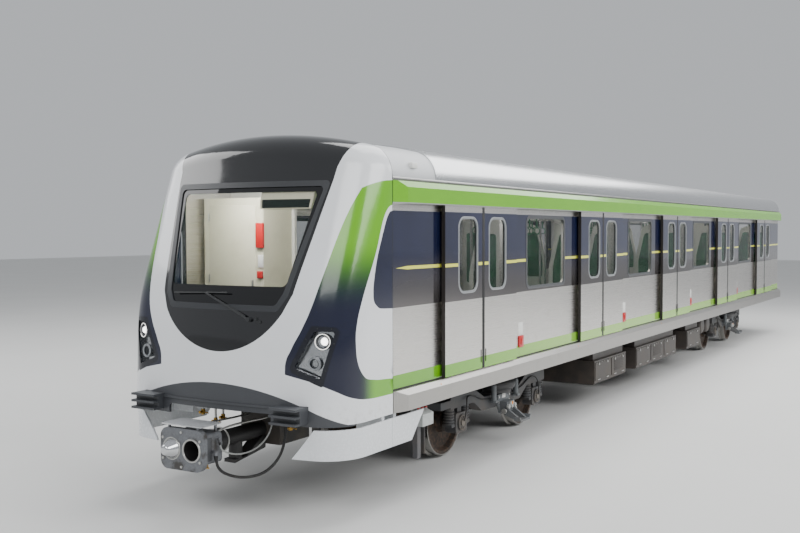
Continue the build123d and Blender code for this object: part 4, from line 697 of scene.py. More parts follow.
@dataclass(frozen=True)
class CouplerSteel(Finish):
    """The coupler: worn grey casting, polished cone, painted shade in the cup and on the casting further
    back, and a light chequered tread plate.
    """

    name: str = "coupler_casting"
    tread_z: float = 0.935
    chequer: float = 0.022
    cone_y: float = FACE_Y - 0.002
    # Painted shade inside the cup: along, across, and up from its middle
    cup_y: Pair = (FACE_Y + 0.004, FACE_Y + 0.16)
    cup_x: Pair = (0.015, 0.235)
    cup_z: Pair = (0.715, 0.11)
    shade_y: float = FACE_Y + 0.30
    cast: Shades = (srgb(92, 94, 98), srgb(132, 134, 138))
    shaded: Shades = (srgb(44, 44, 46), srgb(62, 61, 60))
    worn: Colour = srgb(74, 72, 70)
    # Painted shade inside the cup
    cup: Colour = srgb(34, 33, 33)
    tread: Colour = srgb(190, 192, 194)
    cone: Colour = srgb(205, 206, 208)

    def paint(self, g: Graph) -> None:
        """Feeds the shader.

        Args:
            g: The material's nodes.
        """
        x, y, z = g.axes
        cast = g.noise(55, 6)
        wear = g.smooth(g.noise(9, 4), 0.48, 0.70)
        polished = g.both(g.under(y, self.cone_y), g.under(x, 0.0))
        middle, reach = self.cup_z
        inside = g.both(g.band(y, *self.cup_y), g.band(x, *self.cup_x),
                        g.under(g.size(g.less(z, middle)), reach))
        plate = g.over(z, self.tread_z)
        back = g.over(y, self.shade_y, 0.01)
        # The cup's inside is painted dark as shade, and the casting behind shade_y in shaded tones
        colour = g.mix(inside, g.mix(wear, g.mix(cast, *self.cast), self.worn), self.cup)
        colour = g.mix(plate, g.mix(back, colour, g.mix(cast, *self.shaded)), self.tread)
        g.surface(g.mix(polished, colour, self.cone), g.blend(polished, g.blend(cast, 0.36, 0.55), 0.14),
                  g.blend(g.either(polished, plate), 0.55, 0.95))
        turn = math.pi / self.chequer
        u, v = (g.math("SINE", g.both(value, turn)) for value in (g.plus(x, y), g.less(x, y)))
        lozenge = g.over(g.both(u, v), 0.35, 0.1)
        g.bump(g.plus(g.both(cast, 0.25), g.both(plate, lozenge)), 0.002, 0.8)


@dataclass(frozen=True)
class CabLaminate(Finish):
    """Pale laminate of the cab's cabinets, with its dark console and the line display's dark window."""

    name: str = "cab_laminate"
    display_x: Pair = (0.225, 0.795)
    display_y: float = -9.87
    display_z: Pair = (3.018, 3.105)
    display: Colour = srgb(8, 14, 12)
    desk_y: float = -9.80
    desk_z: float = 2.2
    desk: Shades = (srgb(50, 53, 56), srgb(62, 65, 68))
    cream: Shades = (srgb(206, 202, 176), srgb(216, 212, 188))
    worn: Colour = srgb(188, 182, 156)

    def paint(self, g: Graph) -> None:
        """Feeds the shader.

        Args:
            g: The material's nodes.
        """
        x, y, z = g.axes
        cloud = g.noise(30, 4)
        wear = g.smooth(g.noise(5, 4), 0.5, 0.8)
        dark = g.both(g.band(z, *self.display_z), g.band(x, *self.display_x), g.under(y, self.display_y))
        desk = g.both(g.under(y, self.desk_y), g.under(z, self.desk_z))
        cream = g.mix(g.both(wear, 0.4), g.mix(cloud, *self.cream), self.worn)
        colour = g.mix(desk, cream, g.mix(cloud, *self.desk))
        g.surface(g.mix(dark, colour, self.display), g.blend(dark, g.blend(cloud, 0.40, 0.52), 0.12),
                  specular=0.4)
        g.bump(cloud, 0.0004, 0.3)


# Every finish that pieces share
BLACK_GLOSS = Lacquer("cap_gloss", srgb(12, 13, 16), 0.10, spread=0.3, dust=0.0, depth=0.0002, coat=0.8)
CHARCOAL = Lacquer("valance_paint", srgb(62, 64, 68), 0.40, spread=0.10, dust=0.14)
SKIRT_WHITE = Lacquer("skirt_paint", srgb(216, 219, 222), 0.26, spread=0.04, dust=0.22, dust_top=0.9,
                      coat=0.3)
BEZEL = Lacquer("lamp_bezel", srgb(19, 21, 30), 0.20, dust=0.0, depth=0.0003)
SCREEN_SURROUND = Lacquer("screen_surround", srgb(46, 48, 51), 0.36, spread=0.12, dust=0.0, depth=0.0003)
MIRRORED = Lacquer("lamp_mirror", (0.62, 0.64, 0.66, 1), 0.16, metallic=0.9, spread=0.35, dust=0.0,
                   grain=60, depth=0.003)
RUBBER = Lacquer("rubber_seal", srgb(24, 24, 25), 0.62, dust=0.05, depth=0.0004)
WINDOW_TRIM = Lacquer("window_trim", srgb(70, 72, 75), 0.40, dust=0.0, depth=0.0003)
LEAF_TRIM = Lacquer("leaf_trim", srgb(150, 153, 155), 0.34, metallic=0.5, dust=0.0, depth=0.0003)
FRAME_GREY = Lacquer("underframe_paint", srgb(44, 43, 42), 0.62, dust=0.35, dust_top=1.5, depth=0.0012)
CASE_PAINT = Lacquer("case_paint", srgb(54, 49, 46), 0.46, dust=0.28, depth=0.0008)
BOGIE_PAINT = Lacquer("bogie_paint", srgb(58, 59, 61), 0.52, dust=0.40, depth=0.0015)
MOTOR_PAINT = Lacquer("motor_paint", srgb(46, 46, 48), 0.55, dust=0.45, depth=0.0012)
BRACKET_PAINT = Lacquer("bracket_paint", srgb(98, 102, 105), 0.48, metallic=0.1, dust=0.22, depth=0.0008)
AXLE_CAP = Lacquer("axle_cap", srgb(112, 106, 98), 0.42, metallic=0.5, dust=0.30, depth=0.0008)
INSULATOR = Lacquer("shoe_insulator", srgb(166, 168, 166), 0.40)
LAMP_RIM = Lacquer("lamp_rim", srgb(196, 200, 204), 0.25, metallic=0.3, dust=0.0, depth=0.0002)
BOX_PAINT = Lacquer("box_paint", srgb(176, 180, 178), dust=0.20, foot=0.69)
FOLD_RUBBER = Lacquer("fold_rubber", srgb(44, 45, 48), 0.75, dust=0.1, depth=0.002, grain=90)
LAMINATE = Lacquer("white_laminate", srgb(222, 222, 214), 0.40, spread=0.03, dust=0.0, depth=0.0003)
CEILING_WHITE = Lacquer("ceiling_white", srgb(236, 237, 234), 0.5, spread=0.02, dust=0.0, depth=0.0002)
SEAT_GREEN = Lacquer("seat_moulding", srgb(38, 128, 84), 0.32, spread=0.10, dust=0.0, coat=0.3)
DARK_PLASTIC = Lacquer("dark_plastic", srgb(34, 36, 38), 0.5, dust=0.0, depth=0.0004)
RED_PAINT = Lacquer("red_enamel", srgb(196, 28, 30), 0.32, dust=0.05, coat=0.3)
WHITE_PAINT = Lacquer("white_enamel", srgb(226, 226, 222), 0.40, dust=0.05)
ORANGE_PAINT = Lacquer("orange_marking", srgb(222, 130, 30), dust=0.1)
ZINC = Lacquer("zinc_fastener", (0.52, 0.52, 0.50, 1), 0.36, metallic=0.9, dust=0.15)
BRASS = Lacquer("brass_fitting", srgb(176, 140, 70), 0.35, metallic=0.9, dust=0.1)
TUBE_STEEL = Brushed("tube_steel", rough=(0.16, 0.28), along=Axis.Z)
SHEET_STEEL = Brushed("sheet_steel")
SILL_STEEL = Brushed("sill_steel", (0.46, 0.445, 0.425, 1), (0.26, 0.38))
ROOF_STEEL = Brushed("roof_steel", (0.68, 0.69, 0.70, 1), (0.18, 0.30), front_panel_end=-8.632)
UNIT_STEEL = Brushed("unit_steel", (0.58, 0.59, 0.60, 1), (0.34, 0.5))
HOSE_BLACK = Lacquer("hose_black", srgb(20, 20, 21), 0.48, dust=0.1, depth=0.0003)
CABLE_GREY = Lacquer("cable_grey", srgb(150, 152, 150), dust=0.1, depth=0.0003)
CLEAR_GLASS = Pane("window_glass", srgb(26, 36, 34), 0.22)
LENS_GLASS = Pane("lamp_glass", srgb(60, 66, 70), 0.10)
GREEN_GLASS = Pane("green_glass", srgb(10, 120, 70), 0.72)
LIT_WHITE = Glow("lit_white", srgb(255, 252, 244), 7.0)
LIT_RING = Glow("lit_ring", srgb(255, 253, 248), 2.0)
LIT_CORE = Glow("lit_core", srgb(255, 254, 250), 6.0)
DISPLAY_GLOW = Glow("display_glow", srgb(20, 60, 46), 0.5)

_MADE: dict[str, bpy.types.Material] = {}


def material(finish: Finish) -> bpy.types.Material:
    """The finish's material, made once."""
    if finish.name not in _MADE:
        _MADE[finish.name] = finish.build()
    return _MADE[finish.name]


def dress(node: str, finish: Finish) -> None:
    """Gives a CAD node its finish in place of the plain one.

    Args:
        node: The node's name.
        finish: What its surface is.
    """
    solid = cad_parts[node]
    if not solid.material_slots:
        solid.data.materials.append(material(finish))
    for slot in solid.material_slots:
        slot.material = material(finish)
    LOG.info("dressed %s with %s", node, finish.name)


class Skin:
    """Finds places on the outside of CAD nodes."""

    # Where a line of sight starts, well clear of the car
    AHEAD_Y = -14.0
    BESIDE_X = 3.0
    ABOVE_Z = 6.0

    def __init__(self, *nodes: str) -> None:
        """Reads the nodes' faces.

        Args:
            *nodes: Names of the CAD nodes.
        """
        shell = bmesh.new()
        for node in nodes:
            shell.from_mesh(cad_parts[node].data)
        self.tree = BVHTree.FromBMesh(shell)
        shell.free()

    def hit(self, start: Point, toward: Point) -> tuple[Vector, Vector]:
        """Where a straight line first meets the skin.

        Args:
            start: Where the line starts.
            toward: Its direction.

        Returns:
            The place and the outward normal there.
        """
        place, normal, _, _ = self.tree.ray_cast(Vector(start), Vector(toward))
        if place is None:
            raise ValueError(f"no skin is met from {tuple(start)} toward {tuple(toward)}")
        return place, normal if normal.dot(Vector(toward)) < 0 else -normal

    def ahead(self, x: float, z: float) -> tuple[Vector, Vector]:
        """The place seen from ahead of the car at x and z."""
        return self.hit((x, self.AHEAD_Y, z), BACK)

    def beside(self, y: float, z: float, side: Side) -> tuple[Vector, Vector]:
        """The place seen from beside the car at y and z."""
        return self.hit((self.BESIDE_X * side.value, y, z), (-side.value, 0, 0))

    def above(self, x: float, y: float) -> tuple[Vector, Vector]:
        """The place seen from above the car at x and y."""
        return self.hit((x, y, self.ABOVE_Z), DOWN)


def connected(start: Iterable[bmesh.types.BMVert]) -> set[bmesh.types.BMVert]:
    """Follows edges from some vertices to all that hang together with them.

    Args:
        start: The first vertices.

    Returns:
        The first vertices and all that edges join to them.
    """
    found: set[bmesh.types.BMVert] = set()
    rim = set(start)
    while rim:
        found |= rim
        rim = {w for v in rim for e in v.link_edges for w in e.verts} - found
    return found


def turn_to(toward: Point) -> Matrix:
    """The turn that points an upright form toward a direction."""
    return Vector(toward).to_track_quat("Z", "Y").to_matrix().to_4x4()


def along(edge: bmesh.types.BMEdge, direction: Vector) -> float:
    """How nearly an edge runs along a direction, where 1 is exactly so."""
    return abs((edge.verts[1].co - edge.verts[0].co).normalized().dot(direction))


def round_edges(mesh: bmesh.types.BMesh, edges: Iterable[bmesh.types.BMEdge], radius: float,
                steps: int) -> None:
    """Rounds some of a form's edges by a radius, in so many steps."""
    bmesh.ops.bevel(mesh, geom=list(edges), offset=radius, segments=steps, profile=0.5, affect="EDGES",
                    material=-1)


class Shape:
    """One new piece, gathered from operator-made forms in the car's frame."""

    # Edges that bend less than this are shaded smooth
    SMOOTH_UP_TO = math.radians(35)
    FRAME_CORNER_STEPS = 6
    PLATE_CORNER_STEPS = 4
    # Share of its depth, or of its border, by which a window frame's outer rims are rounded
    FRAME_ROUNDING = 0.3
    BOLT_SUNK = 0.002

    def __init__(self, name: str) -> None:
        """Starts an empty piece of that name."""
        self.name = name
        self.mesh = bmesh.new()

    def join(self, part: bmesh.types.BMesh) -> None:
        """Takes in another form and frees it.

        Args:
            part: The form, in the car's frame.
        """
        held = bpy.data.meshes.new("held")
        part.to_mesh(held)
        part.free()
        self.mesh.from_mesh(held)
        bpy.data.meshes.remove(held)

    def box(self, low: Point, high: Point, round_by: float = 0.0) -> None:
        """Adds a box between two corners, with rounded edges where asked.

        Args:
            low: One corner.
            high: The opposite corner.
            round_by: Radius of its edges.
        """
        a, b = Vector(low), Vector(high)
        size = Vector([abs(b[i] - a[i]) for i in range(3)])
        where = Matrix.Translation((a + b) / 2) @ Matrix.Diagonal((*size, 1.0))
        made = bmesh.ops.create_cube(self.mesh, size=1.0, matrix=where)["verts"]
        if round_by > 0:
            round_edges(self.mesh, {e for v in made for e in v.link_edges}, round_by, 2)

    def rod(self, start: Point, end: Point, radius: float, sides: int,
            tip: Optional[float] = None) -> None:
        """Adds a round bar between the middles of its ends, or a cone where its tip has another radius."""
        a, b = Vector(start), Vector(end)
        bmesh.ops.create_cone(self.mesh, cap_ends=True, segments=sides, radius1=radius,
                              radius2=radius if tip is None else tip, depth=(b - a).length,
                              matrix=Matrix.Translation((a + b) / 2) @ turn_to(b - a))

    def turned(self, profile: Sequence[Pair], centre: Point, toward: Point,
               steps: int = 28) -> None:
        """Adds a form turned about an axis.

        Args:
            profile: Pairs of radius and distance along the axis.
            centre: Where the axis starts.
            toward: The axis's direction.
            steps: Steps round the turn.
        """
        verts = [self.mesh.verts.new((radius, 0, along)) for radius, along in profile]
        edges = [self.mesh.edges.new(pair) for pair in zip(verts, verts[1:])]
        spun = bmesh.ops.spin(self.mesh, geom=verts + edges, cent=(0, 0, 0), axis=UP, angle=2 * math.pi,
                              steps=steps, use_merge=True, use_duplicate=False)
        ends = [item for item in spun["geom_last"] if isinstance(item, bmesh.types.BMVert)]
        grown = list(connected([v for e in edges if e.is_valid for v in e.verts] + ends))
        bmesh.ops.remove_doubles(self.mesh, verts=grown, dist=MERGE)
        bmesh.ops.transform(self.mesh, matrix=Matrix.Translation(Vector(centre)) @ turn_to(toward),
                            verts=[v for v in grown if v.is_valid])

    def ring(self, centre: Point, toward: Point, radius: float, thick: float, steps: int = 28,
             sides: int = 8) -> None:
        """Adds a round ring about an axis, with the radius of its middle line and of its wire."""
        angles = [2 * math.pi * i / sides for i in range(sides + 1)]
        profile = [(radius + thick * math.cos(a), thick * math.sin(a)) for a in angles]
        self.turned(profile, centre, toward, steps)

    def plate(self, outline: Sequence[Point], push: Point, round_by: float = 0.0) -> None:
        """Adds a flat plate from a short outline, pushed out to its thickness.

        Args:
            outline: Its corners in order.
            push: From its first face to its second.
            round_by: Radius of its outline's corners.
        """
        verts = [self.mesh.verts.new(corner) for corner in outline]
        face = self.mesh.faces.new(verts)
        grown = bmesh.ops.extrude_face_region(self.mesh, geom=[face])["geom"]
        moved = [item for item in grown if isinstance(item, bmesh.types.BMVert)]
        bmesh.ops.translate(self.mesh, verts=moved, vec=Vector(push))
        if round_by > 0:
            direction = Vector(push).normalized()
            edges = {e for v in verts + moved for e in v.link_edges}
            corners = [e for e in edges if along(e, direction) > 0.999]
            round_edges(self.mesh, corners, round_by, self.PLATE_CORNER_STEPS)

    def window_ring(self, middle: Point, size: Pair, corner: float, border: float,
                    proud: float, side: Side) -> None:
        """Adds a rounded frame on the car's side.

        Args:
            middle: Middle of the window, on the frame's inner face.
            size: Width and height over the frame.
            corner: Its outer corner radius.
            border: Width of the frame.
            proud: Its depth, outward.
            side: The car's side.
        """
        ring = bmesh.new()
        where = Matrix.Translation((proud / 2, 0, 0)) @ Matrix.Diagonal((proud, *size, 1.0))
        bmesh.ops.create_cube(ring, size=1.0, matrix=where)
        across = [e for e in ring.edges if along(e, Vector((1, 0, 0))) > 0.9]
        round_edges(ring, across, corner, self.FRAME_CORNER_STEPS)
        ends = [f for f in ring.faces if abs(f.normal.x) > 0.9]
        bmesh.ops.inset_individual(ring, faces=ends, thickness=border, use_even_offset=True)
        loops = list({e for f in ends for e in f.edges})
        bmesh.ops.delete(ring, geom=ends, context="FACES_ONLY")
        bmesh.ops.bridge_loops(ring, edges=loops)
        rims = [e for e in ring.edges if len(e.link_faces) == 2
                and all(v.co.x > proud * 0.9 for v in e.verts) and e.calc_face_angle(0.0) > 1.0]
        round_edges(ring, rims, min(proud, border) * self.FRAME_ROUNDING, 2)
        bmesh.ops.recalc_face_normals(ring, faces=ring.faces[:])
        turn = Matrix.Identity(4) if side is Side.RIGHT else Matrix.Rotation(math.pi, 4, "Z")
        bmesh.ops.transform(ring, matrix=Matrix.Translation(Vector(middle)) @ turn, verts=ring.verts[:])
        self.join(ring)

    def bolt(self, place: Point, normal: Point, radius: float, high: float) -> None:
        """Adds a hexagon bolt head that stands on a surface, with its radius over the corners."""
        a, n = Vector(place), Vector(normal).normalized()
        self.rod(a - n * self.BOLT_SUNK, a + n * high, radius, 6)

    def done(self, finish: Finish, slot: str, body: str = "carbody", smooth: bool = True) -> bpy.types.Object:
        """Turns the gathered forms into a finished piece.

        Args:
            finish: What its surface is.
            slot: Name of a material slot; not used.
            body: The CAD body that it rides on.
            smooth: Whether its round faces are shaded smooth.

        Returns:
            The new object.
        """
        bmesh.ops.recalc_face_normals(self.mesh, faces=self.mesh.faces[:])
        mesh = bpy.data.meshes.new(self.name)
        for face in self.mesh.faces:
            face.smooth = smooth
        if smooth:
            for edge in self.mesh.edges:
                edge.smooth = edge.calc_face_angle(0.0) < self.SMOOTH_UP_TO
        self.mesh.to_mesh(mesh)
        self.mesh.free()
        piece = bpy.data.objects.new(self.name, mesh)
        bpy.context.scene.collection.objects.link(piece)
        mesh.materials.append(material(finish))
        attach(piece, body)
        LOG.info("made %s with %d faces", self.name, len(mesh.polygons))
        return piece


def tube(name: str, routes: Sequence[Sequence[Point]], radius: float, finish: Finish, round_steps: int,
         run_steps: int) -> bpy.types.Object:
    """Makes round tubes on smooth routes.

    Args:
        name: The piece's name.
        routes: Each tube's points.
        radius: The tubes' radius.
        finish: What their surface is.
        round_steps: Fineness round a tube.
        run_steps: Fineness along a tube.

    Returns:
        The new curve object.
    """
    line = bpy.data.curves.new(name, "CURVE")
    line.dimensions = "3D"
    line.bevel_depth = radius
    line.bevel_resolution = round_steps
    line.resolution_u = run_steps
    line.use_fill_caps = True
    for route in routes:
        spline = line.splines.new("NURBS")
        spline.points.add(len(route) - 1)
        for point, place in zip(spline.points, route):
            point.co = (*place, 1.0)
        spline.order_u = 3
        spline.use_endpoint_u = True
    piece = bpy.data.objects.new(name, line)
    bpy.context.scene.collection.objects.link(piece)
    line.materials.append(material(finish))
    return piece


def pipe(name: str, routes: Sequence[Sequence[Point]], radius: float, finish: Finish,
         body: str = "carbody") -> None:
    """Makes fixed pipes or clipped cables.

    Args:
        name: The piece's name.
        routes: Each pipe's points.
        radius: The pipes' radius.
        finish: What their surface is.
        body: The CAD body that they ride on.
    """
    piece = tube(name, routes, radius, finish, 2, 6)
    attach(piece, body)
    LOG.info("made %s with %d runs", name, len(routes))


def islands(node: str) -> list[bmesh.types.BMesh]:
    """Copies of a CAD node's separate solids, with their loose triangles merged.

    Args:
        node: The node's name.

    Returns:
        One bmesh for each solid, largest volume first.
    """
    whole = bmesh.new()
    whole.from_mesh(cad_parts[node].data)
    bmesh.ops.remove_doubles(whole, verts=whole.verts[:], dist=MERGE)
    whole.verts.index_update()
    left = set(whole.verts)
    found = []
    while left:
        group = connected([next(iter(left))])
        left -= group
        part = whole.copy()
        keep = {v.index for v in group}
        bmesh.ops.delete(part, geom=[v for v in part.verts if v.index not in keep], context="VERTS")
        found.append(part)
    whole.free()
    return sorted(found, key=lambda part: -abs(part.calc_volume()))


@dataclass
class Nose:
    """The moulded nose: its paint, windscreen, wiper and lamps."""

    # Each lamp's place across and up and its bowl's radius, the upper lamp first
    lamps: Triples = ((1.170, 1.739, 0.062), (1.094, 1.529, 0.047))
    lamp_outline: Pairs = (
        (1.070, 1.890), (1.335, 1.879), (1.195, 1.308), (0.835, 1.453))
    lamp_window: Pairs = (
        (1.105, 1.838), (1.290, 1.840), (1.170, 1.388), (0.900, 1.482))
    lower_rims: tuple[float, ...] = (0.051, 0.060, 0.069)
    rim_wire: float = 0.0028
    lit_ring: Pair = (0.073, 0.0032)
    shell: float = 0.002
    bowl_back: float = 0.070
    bowl_seat: float = 0.010
    bowl_mouth: float = 0.020
    # Shares of the bowl's radius, and places along its axis
    bowl_profile: Pairs = ((0.0, 0.002), (0.72, -0.003), (0.93, -0.012), (1.0, -0.030))
    lens_profile: Pairs = (
        (0.0, -0.034), (0.35, -0.031), (0.66, -0.022), (0.78, 0.001), (0.0, 0.001))
    # Radii, and places along the axis
    core_profile: Pairs = (
        (0.0, -0.034), (0.018, -0.031), (0.032, -0.022), (0.038, -0.006), (0.036, 0.001), (0.0, 0.001))
    liner_ahead: float = 0.014
    liner_inset: float = 0.04
    liner_cells: int = 12
    bezel_bolts: int = 2
    bezel_bolt: Pair = (0.006, 0.002)
    bezel_inset: float = 0.022
    nozzles_at: Pairs = ((0.514, 1.905), (0.470, 1.935))
    nozzle_radii: Pair = (0.016, 0.011)
    nozzle_deep: float = 0.004
    nozzle_proud: float = 0.016
    jet_from: float = 0.012
    jet: Triple = (0, -0.004, 0.018)
    jet_radius: float = 0.004
    guide_ends: Pairs = ((0.352, 1.955), (-0.150, 2.150))
    guide_proud: float = 0.022
    guide_radius: float = 0.005

    def build(self) -> None:
        """Makes and dresses everything on the nose."""
        dress("nose_mask", NosePaint())
        dress("nose_cap", BLACK_GLOSS)
        dress("windscreen", ScreenGlass())
        dress("windscreen_frame", SCREEN_SURROUND)
        dress("windscreen_wiper", DARK_PLASTIC)
        dress("front_valance", CHARCOAL)
        dress("front_skirts", SKIRT_WHITE)
        self.skin = Skin("nose_mask", "nose_cap", "headlamps", "windscreen", "windscreen_frame",
                         "front_valance")
        self.lamp_shells()
        for side in Side:
            self.lamp_liner(side)
            self.lamp_inner(side)
            self.lamp_bolts(side)
        self.nozzles()

    def lamp_shells(self) -> None:
        """Stands copies of the lamps' solids in for the node, so that bezel and lens differ in finish."""
        parts = islands("headlamps")
        bezels = len(Side)
        for name, chosen, finish in (("headlamp_bezels", parts[:bezels], BEZEL),
                                     ("headlamp_lenses", parts[bezels:], LENS_GLASS)):
            shape = Shape(name)
            for part in chosen:
                shape.join(part)
            piece = shape.done(finish, "lamp_set")
            if name == "headlamp_bezels":
                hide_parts("headlamps")

    def lamp_inner(self, side: Side) -> None:
        """Adds one unit's bowls, rims, lit ring, lit core and lower lens.

        Args:
            side: The car's side.
        """
        bowls, rims, ring, core, lens = (Shape(f"headlamp_{part}_{side.tag}") for part in (
            "reflectors", "rims", "ring", "light", "projector"))
        for x, z, radius in self.lamps:
            inner = [(share * radius, along) for share, along in self.bowl_profile]
            outer = [(r + self.shell if r else r, along + self.shell) for r, along in reversed(inner)]
            bowls.turned(inner + outer, self.bowl(side, x, z), BACK)
        (upper_x, upper_z, _), (lower_x, lower_z, lower_radius) = self.lamps
        mouth = Vector((0, self.bowl_mouth, 0))
        cover, normal = self.skin.ahead(side.value * upper_x, upper_z)
        ring.ring(cover + mouth, normal, *self.lit_ring, 40)
        cover, normal = self.skin.ahead(side.value * lower_x, lower_z)
        for rim in self.lower_rims:
            rims.ring(cover + mouth, normal, rim, self.rim_wire)
        core.turned(self.core_profile, self.bowl(side, upper_x, upper_z), BACK)
        lens.turned([(share * lower_radius, along) for share, along in self.lens_profile],
                    self.bowl(side, lower_x, lower_z), BACK)
        for shape, finish in ((bowls, BEZEL), (rims, LAMP_RIM), (ring, LIT_RING), (core, LIT_CORE),
                              (lens, LENS_GLASS)):
            shape.done(finish, "lamp_set")

    def lamp_bolts(self, side: Side) -> None:
        """Adds the bolts along one bezel's edges."""
        bolts = Shape(f"headlamp_bolts_{side.tag}")
        outline = [Vector((side.value * x, 0, z)) for x, z in self.lamp_outline]
        middle = sum(outline, Vector()) / len(outline)
        for a, b in zip(outline, outline[1:] + outline[:1]):
            for i in range(self.bezel_bolts):
                flat = a.lerp(b, (i + 0.5) / self.bezel_bolts)
                flat += (middle - flat).normalized() * self.bezel_inset
                bolts.bolt(*self.skin.ahead(flat.x, flat.z), *self.bezel_bolt)
        bolts.done(DARK_PLASTIC, "lamp_set")

    def lamp_liner(self, side: Side) -> None:
        """Adds the mirrored liner that covers one unit's back plate.

        Args:
            side: The car's side.
        """
        shape = Shape(f"headlamp_liner_{side.tag}")
        corners = [Vector((side.value * x, 0, z)) for x, z in self.lamp_window]
        middle = sum(corners, Vector()) / len(corners)
        a, b, c, d = [corner.lerp(middle, self.liner_inset) for corner in corners]
        grid = bmesh.ops.create_grid(shape.mesh, x_segments=self.liner_cells, y_segments=self.liner_cells,
                                     size=0.5)["verts"]
        for vert in grid:
            u, v = vert.co.x + 0.5, vert.co.y + 0.5
            flat = d.lerp(c, u).lerp(a.lerp(b, u), v)
            glass, _ = self.skin.ahead(flat.x, flat.z)
            vert.co = (flat.x, glass.y + self.bowl_back - self.liner_ahead, flat.z)
        bmesh.ops.solidify(shape.mesh, geom=shape.mesh.faces[:], thickness=self.shell)
        shape.done(MIRRORED, "lamp_set")

    def bowl(self, side: Side, x: float, z: float) -> Vector:
        """Where the middle of a bowl at x and z from the car's middle meets the back plate."""
        glass, _ = self.skin.ahead(side.value * x, z)
        return Vector((side.value * x, glass.y + self.bowl_back - self.bowl_seat, z))

    def nozzles(self) -> None:
        """Adds the washer nozzles beside the wiper's pivot and the wiper's second, guiding rod."""
        shape = Shape("washer_nozzles")
        for x, z in self.nozzles_at:
            spot, normal = self.skin.ahead(x, z)
            base, tip = self.nozzle_radii
            shape.rod(spot - normal * self.nozzle_deep, spot + normal * self.nozzle_proud, base, 18, tip)
            jet = spot + normal * self.jet_from
            shape.rod(jet, jet + Vector(self.jet), self.jet_radius, 10)
        ends = [self.skin.ahead(x, z) for x, z in self.guide_ends]
        start, end = (spot + normal * self.guide_proud for spot, normal in ends)
        shape.rod(start, end, self.guide_radius, 10)
        shape.done(DARK_PLASTIC, "cap_black")


@dataclass(frozen=True)
class Cord:
    """A hose or lead that hangs free between a socket on the floor and one on the coupler's head."""

    node: str
    radius: float
    length: float
    finish: Lacquer
    sleeve: float
    route: Triples
    collar_share: float = 0.35
    collar_grow: float = 1.45
    taper: Pair = (1.40, 1.06)

    def build(self) -> None:
        """Makes the cord in place of its CAD solid, with a tapered sleeve at each end."""
        piece = tube(f"{self.node}_line", [self.route], self.radius, self.finish, 3, 12)
        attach(piece, "carbody")
        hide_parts(self.node)
        sleeves = Shape(f"{self.node}_sleeves")
        for end, beside in ((self.route[0], self.route[1]), (self.route[-1], self.route[-2])):
            start = Vector(end)
            toward = (Vector(beside) - start).normalized()
            collar = start + toward * self.sleeve * self.collar_share
            sleeves.rod(start, collar, self.radius * self.collar_grow, 20)
            sleeves.rod(collar, start + toward * self.sleeve, self.radius * self.taper[0], 20,
                        self.radius * self.taper[1])
        sleeves.done(RUBBER, "hose_black")


@dataclass
class Hoses:
    """The free hose and lead at the coupler, on the routes of their CAD solids."""

    cords: tuple[Cord, ...] = (
        Cord("coupler_hose", 0.014, 1.30, HOSE_BLACK, 0.045,
             ((0.600, -10.200, 1.000), (0.600, -10.200, 0.800), (0.574, -10.254, 0.560),
              (0.498, -10.415, 0.410), (0.388, -10.621, 0.398), (0.309, -10.792, 0.470),
              (0.275, -10.860, 0.560), (0.275, -10.860, 0.655))),
        Cord("coupler_cable", 0.008, 0.94, CABLE_GREY, 0.030,
             ((0.430, -10.200, 1.010), (0.430, -10.200, 0.880), (0.414, -10.258, 0.740),
              (0.380, -10.383, 0.642), (0.329, -10.546, 0.610), (0.290, -10.691, 0.640),
              (0.262, -10.790, 0.700), (0.262, -10.790, 0.770))),
    )

    def build(self) -> None:
        """Makes both."""
        for cord in self.cords:
            cord.build()


